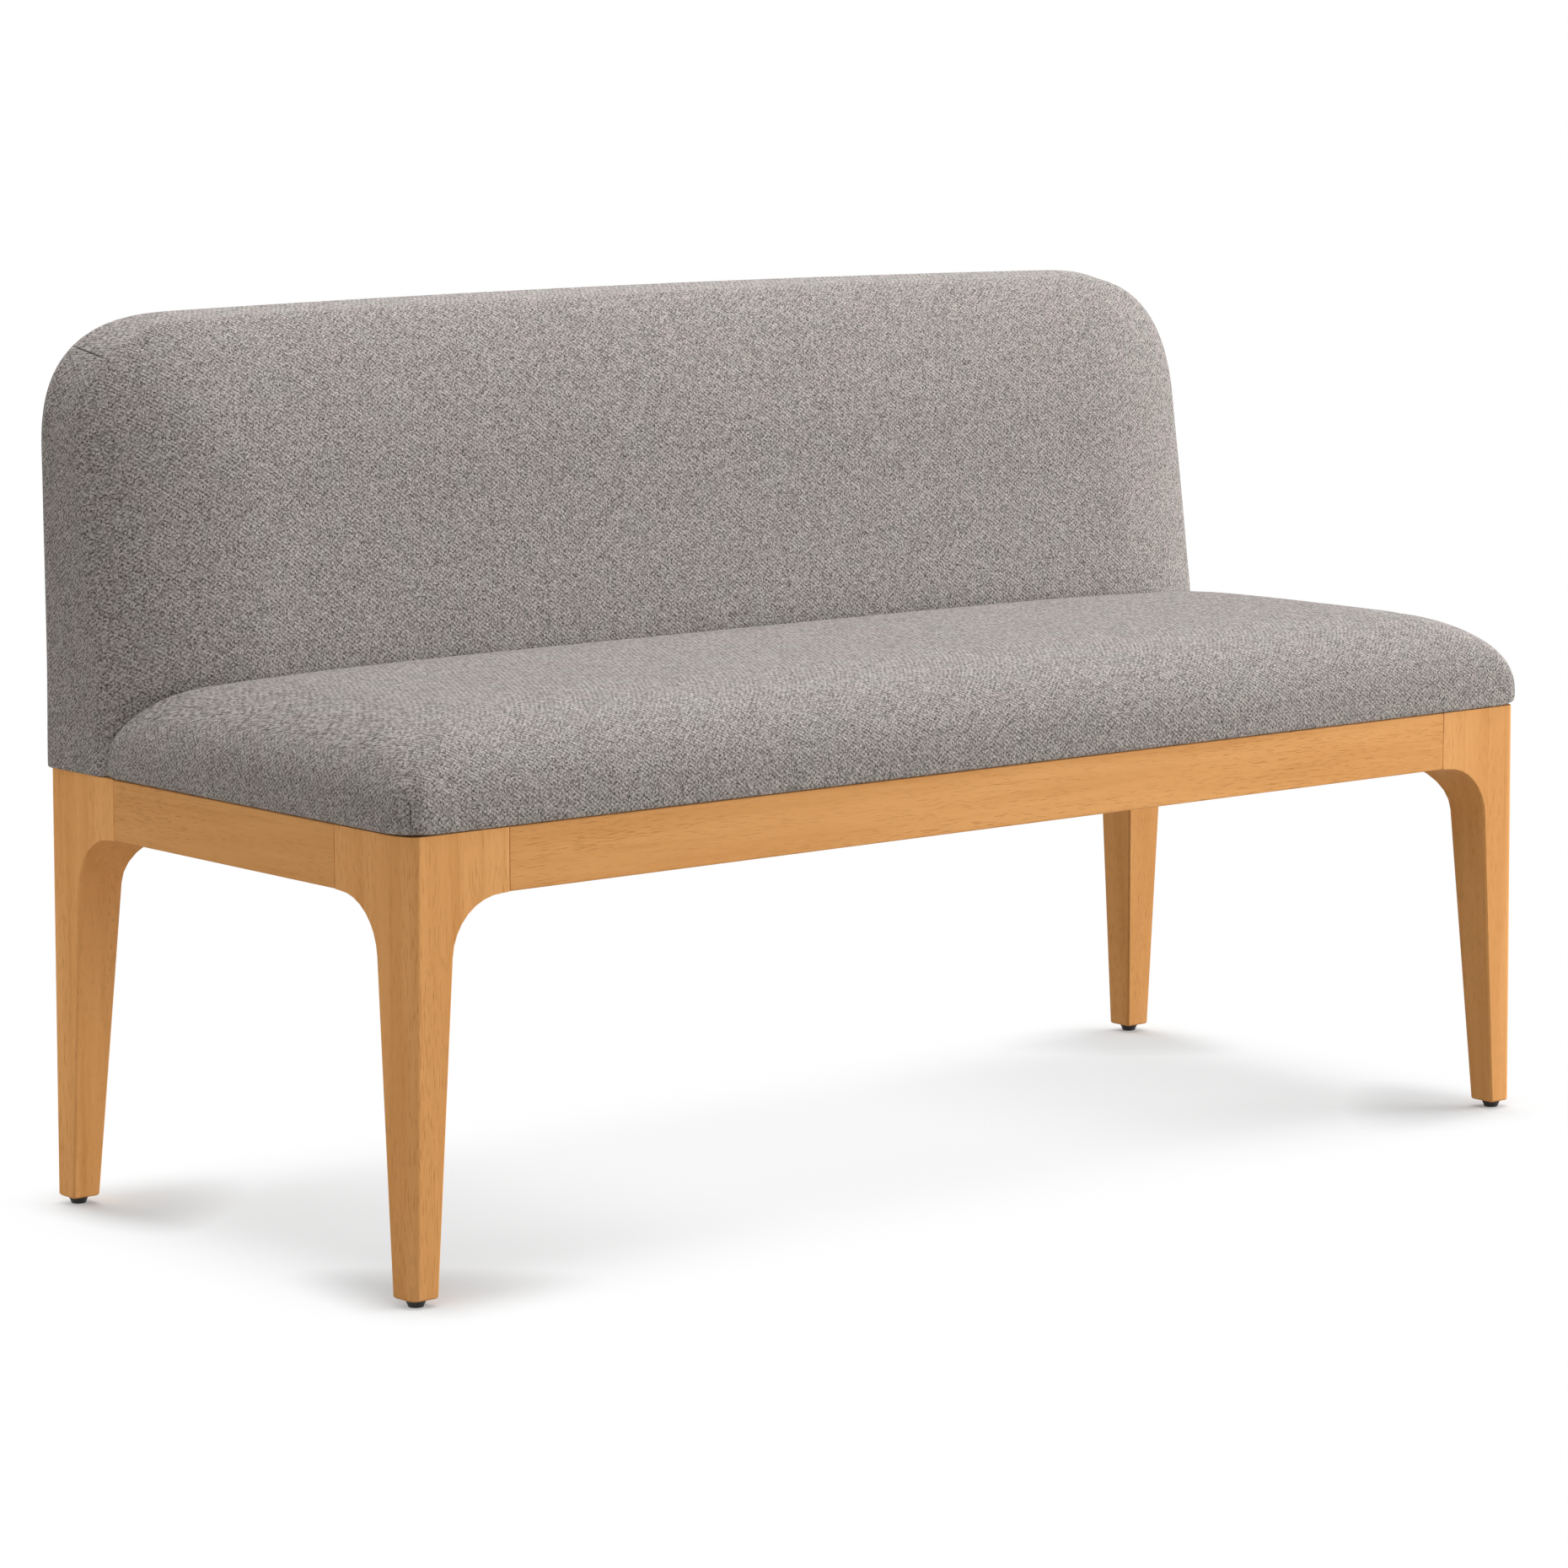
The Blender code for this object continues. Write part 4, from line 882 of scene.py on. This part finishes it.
GLIDE_PROFILE = (
    (0.0, 0.0), (0.0056, 0.0), (0.0064, 0.0002), (0.0068, 0.0008), (0.0071, 0.0020), (0.0086, 0.0052),
    (0.0093, 0.0060), (0.0095, 0.0066), (0.0094, 0.0069), (0.0090, 0.0070), (0.0, 0.0070),
)
GLIDE_SHARP_ANGLE = 60
STEM_RADIUS = 0.003
STEM_OVERLAP = 0.001
THREAD_DEPTH = 0.00045
THREAD_PITCH = 0.001
THREAD_STEPS = 6
TURN_STEPS = 40


def turned(name, profile, centre, material):
    """Round piece from a profile of radius and height pairs."""
    angles = np.linspace(0, 2 * math.pi, TURN_STEPS, endpoint=False)
    points = []
    for radius, z in profile:
        points += [(centre.x + radius * math.cos(a), centre.y + radius * math.sin(a), z) for a in angles]
    return add_mesh(name, points, ring_faces(len(profile), TURN_STEPS), material)


def threaded(name, centre, low, high, material):
    """Stem with a cut thread that winds up it."""
    levels = np.arange(low, high, THREAD_PITCH / THREAD_STEPS)
    points = []
    for z in levels:
        for i in range(TURN_STEPS):
            angle = 2 * math.pi * i / TURN_STEPS
            phase = (z - low) / THREAD_PITCH - i / TURN_STEPS
            cut = abs(2 * (phase % 1) - 1)
            radius = STEM_RADIUS - THREAD_DEPTH * cut
            points.append((centre.x + radius * math.cos(angle), centre.y + radius * math.sin(angle), z))
    ends = [range(TURN_STEPS), range(len(points) - TURN_STEPS, len(points))]
    return add_mesh(name, points, ring_faces(len(levels), TURN_STEPS) + ends, material)


def make_feet(plastic, steel):
    """Black feet on threaded stems."""
    for corner in CORNERS:
        node = f"leveller_{corner}"
        low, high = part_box(node)
        centre = (low + high) / 2
        foot = turned(f"{node}_foot", GLIDE_PROFILE, centre, plastic)
        foot.data.set_sharp_from_angle(angle=math.radians(GLIDE_SHARP_ANGLE))
        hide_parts(node)
        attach(foot, node)
        stem_low = GLIDE_PROFILE[-1][1] - STEM_OVERLAP
        stem = threaded(f"{node}_stem", centre, stem_low, high.z, steel)
        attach(stem, node)


# Inner pieces that keep their CAD shape

def dress_inner_pieces(finishes):
    """Gives every CAD node that still shows its own procedural material."""
    groups = {
        "hidden_wood": ("corner_block", "centre_rail", "back_post", "back_top_rail", "back_bottom_rail"),
        "plywood": ("seat_deck", "back_panel"),
        "dust_cloth": ("seat_dust_cover", "back_dust_cover"),
        "steel": ("leg_bolt", "leveller_insert", "seat_screw", "back_bolt", "back_insert"),
    }
    for finish, starts in groups.items():
        for name, node in NODES.items():
            if name.startswith(starts) and not node.hide_render:
                node.data.materials.clear()
                node.data.materials.append(finishes[finish])


# Stage

LAMPS = {
    "fill": {"place": (5.1, -2.7, 0.86), "size": (2.8, 1.5), "power": 264},
    "overhead": {"place": (0.2, -0.1, 3.4), "size": (3.0, 2.0), "power": 76},
    "right": {"place": (2.6, 0.1, 2.5), "size": (0.8, 0.8), "power": 7},
    "low_left": {"place": (-4.0, 0.4, 0.30), "size": (1.2, 0.4), "power": 12},
    "rear": {"place": (0.0, 3.0, 2.6), "size": (3.0, 1.0), "power": 36},
}
LAMP_AIM = Vector((0, 0, 0.45))
SKY_STRENGTH = 0.40
FLOOR_HALF = 30.0
FLOOR_BOUNCE = shade(0.48, 0.45, 0.41)
FLOOR_LIT = shade(0.93, 0.965, 0.985)
SHADOW_LENGTH = (0.54, 0.76)
SHADOW_WIDTH = (0.16, 0.36)
SHADOW_SHARES = (0.11, 0.42)
SHADOW_ENDS = (0.15, 0.60)
FOOT_SHADOW_REACH = (0.02, 0.25)
FOOT_SHADOW_SHARE = 0.95
FOOT_SHADOW_LENGTH = (0.62, 0.72)
FOOT_SHADOW_WIDTH = (0.24, 0.34)
WHITE = shade(1, 1, 1)


def floor_finish():
    """Pale floor that shows white away from the bench and keeps its shadow, most of all at the feet."""
    g = Finish("pale_floor")
    x, y, _ = g.add("ShaderNodeSeparateXYZ", {0: g.place}).outputs
    along, across = g.math("ABSOLUTE", x), g.math("ABSOLUTE", y)

    def inside(length, width):
        return g.math("MULTIPLY", g.spread(along, *length, 1.0, 0.0), g.spread(across, *width, 1.0, 0.0))

    low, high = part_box("leveller_rear_right")
    foot = Vector(((low.x + high.x) / 2, (low.y + high.y) / 2, 0))
    folded = g.add("ShaderNodeCombineXYZ", {0: along, 1: across}).outputs[0]
    away = g.add("ShaderNodeVectorMath", {0: folded, 1: foot}, operation="DISTANCE").outputs["Value"]
    at_foot = g.math("MULTIPLY", inside(FOOT_SHADOW_LENGTH, FOOT_SHADOW_WIDTH),
                     g.spread(away, *FOOT_SHADOW_REACH, FOOT_SHADOW_SHARE, 0.0))
    under = g.math("MULTIPLY", inside(SHADOW_LENGTH, SHADOW_WIDTH),
                   g.spread(along, *SHADOW_ENDS, *SHADOW_SHARES))
    share = g.math("MAXIMUM", under, at_foot)
    plain = g.add("ShaderNodeBsdfDiffuse", {"Color": FLOOR_BOUNCE}).outputs[0]
    lit = g.add("ShaderNodeBsdfDiffuse", {"Color": FLOOR_LIT}).outputs[0]
    white = g.add("ShaderNodeEmission", {"Color": WHITE, "Strength": 1.0}).outputs[0]
    shown = g.add("ShaderNodeMixShader", {0: share, 1: white, 2: lit}).outputs[0]
    return g.result(g.add("ShaderNodeMixShader", {0: g.seen_directly(), 1: plain, 2: shown}))


def add_lamp(name, place, size, power):
    """Soft box at a place, turned to the bench and not seen itself."""
    lamp = bpy.data.lights.new(name, "AREA")
    lamp.shape = "RECTANGLE"
    lamp.size, lamp.size_y = size
    lamp.energy = power
    made = bpy.data.objects.new(name, lamp)
    made.location = place
    made.rotation_euler = (LAMP_AIM - Vector(place)).to_track_quat("-Z", "Y").to_euler()
    made.visible_camera = False
    bpy.context.scene.collection.objects.link(made)


def make_stage():
    """Floor, sky and lamps."""
    half = FLOOR_HALF
    corners = [(-half, -half, 0), (half, -half, 0), (half, half, 0), (-half, half, 0)]
    floor = add_mesh("floor", corners, [(0, 1, 2, 3)], floor_finish())

    sky = Nodes(bpy.data.worlds.new("studio"))
    strength = sky.math("MULTIPLY_ADD", sky.seen_directly(), 1 - SKY_STRENGTH, SKY_STRENGTH)
    background = sky.add("ShaderNodeBackground", {"Color": WHITE, "Strength": strength})
    sky.add("ShaderNodeOutputWorld", {"Surface": background.outputs[0]})
    bpy.context.scene.world = sky.owner

    for name, settings in LAMPS.items():
        add_lamp(name, **settings)


def make_camera():
    """Camera of the reference view."""
    lens = bpy.data.cameras.new("camera")
    lens.lens = CAMERA_LENS
    lens.sensor_width = SENSOR_WIDTH
    made = bpy.data.objects.new("camera", lens)
    made.location = CAMERA_PLACE
    made.rotation_euler = (math.radians(90 - CAMERA_PITCH), 0, -math.radians(CAMERA_YAW))
    bpy.context.scene.collection.objects.link(made)
    bpy.context.scene.camera = made


FABRIC = fabric_finish("heathered_fabric")
# Painted shade: a darker copy of the fabric for the seams, in place of the shade in their grooves.
SEAM_FABRIC_PAINTED_SHADE = fabric_finish("shaded_seam_fabric", SEAM_PAINTED_SHADE)
STEEL = steel_finish()
make_camera()
make_stage()
make_frame()
make_feet(plastic_finish(), STEEL)
make_seat(FABRIC, SEAM_FABRIC_PAINTED_SHADE)
make_back(FABRIC, SEAM_FABRIC_PAINTED_SHADE)
dress_inner_pieces({
    "hidden_wood": hidden_wood_finish(),
    "plywood": plywood_finish(),
    "dust_cloth": dust_cloth_finish(),
    "steel": STEEL,
})
bpy.context.scene.view_settings.view_transform = "Standard"
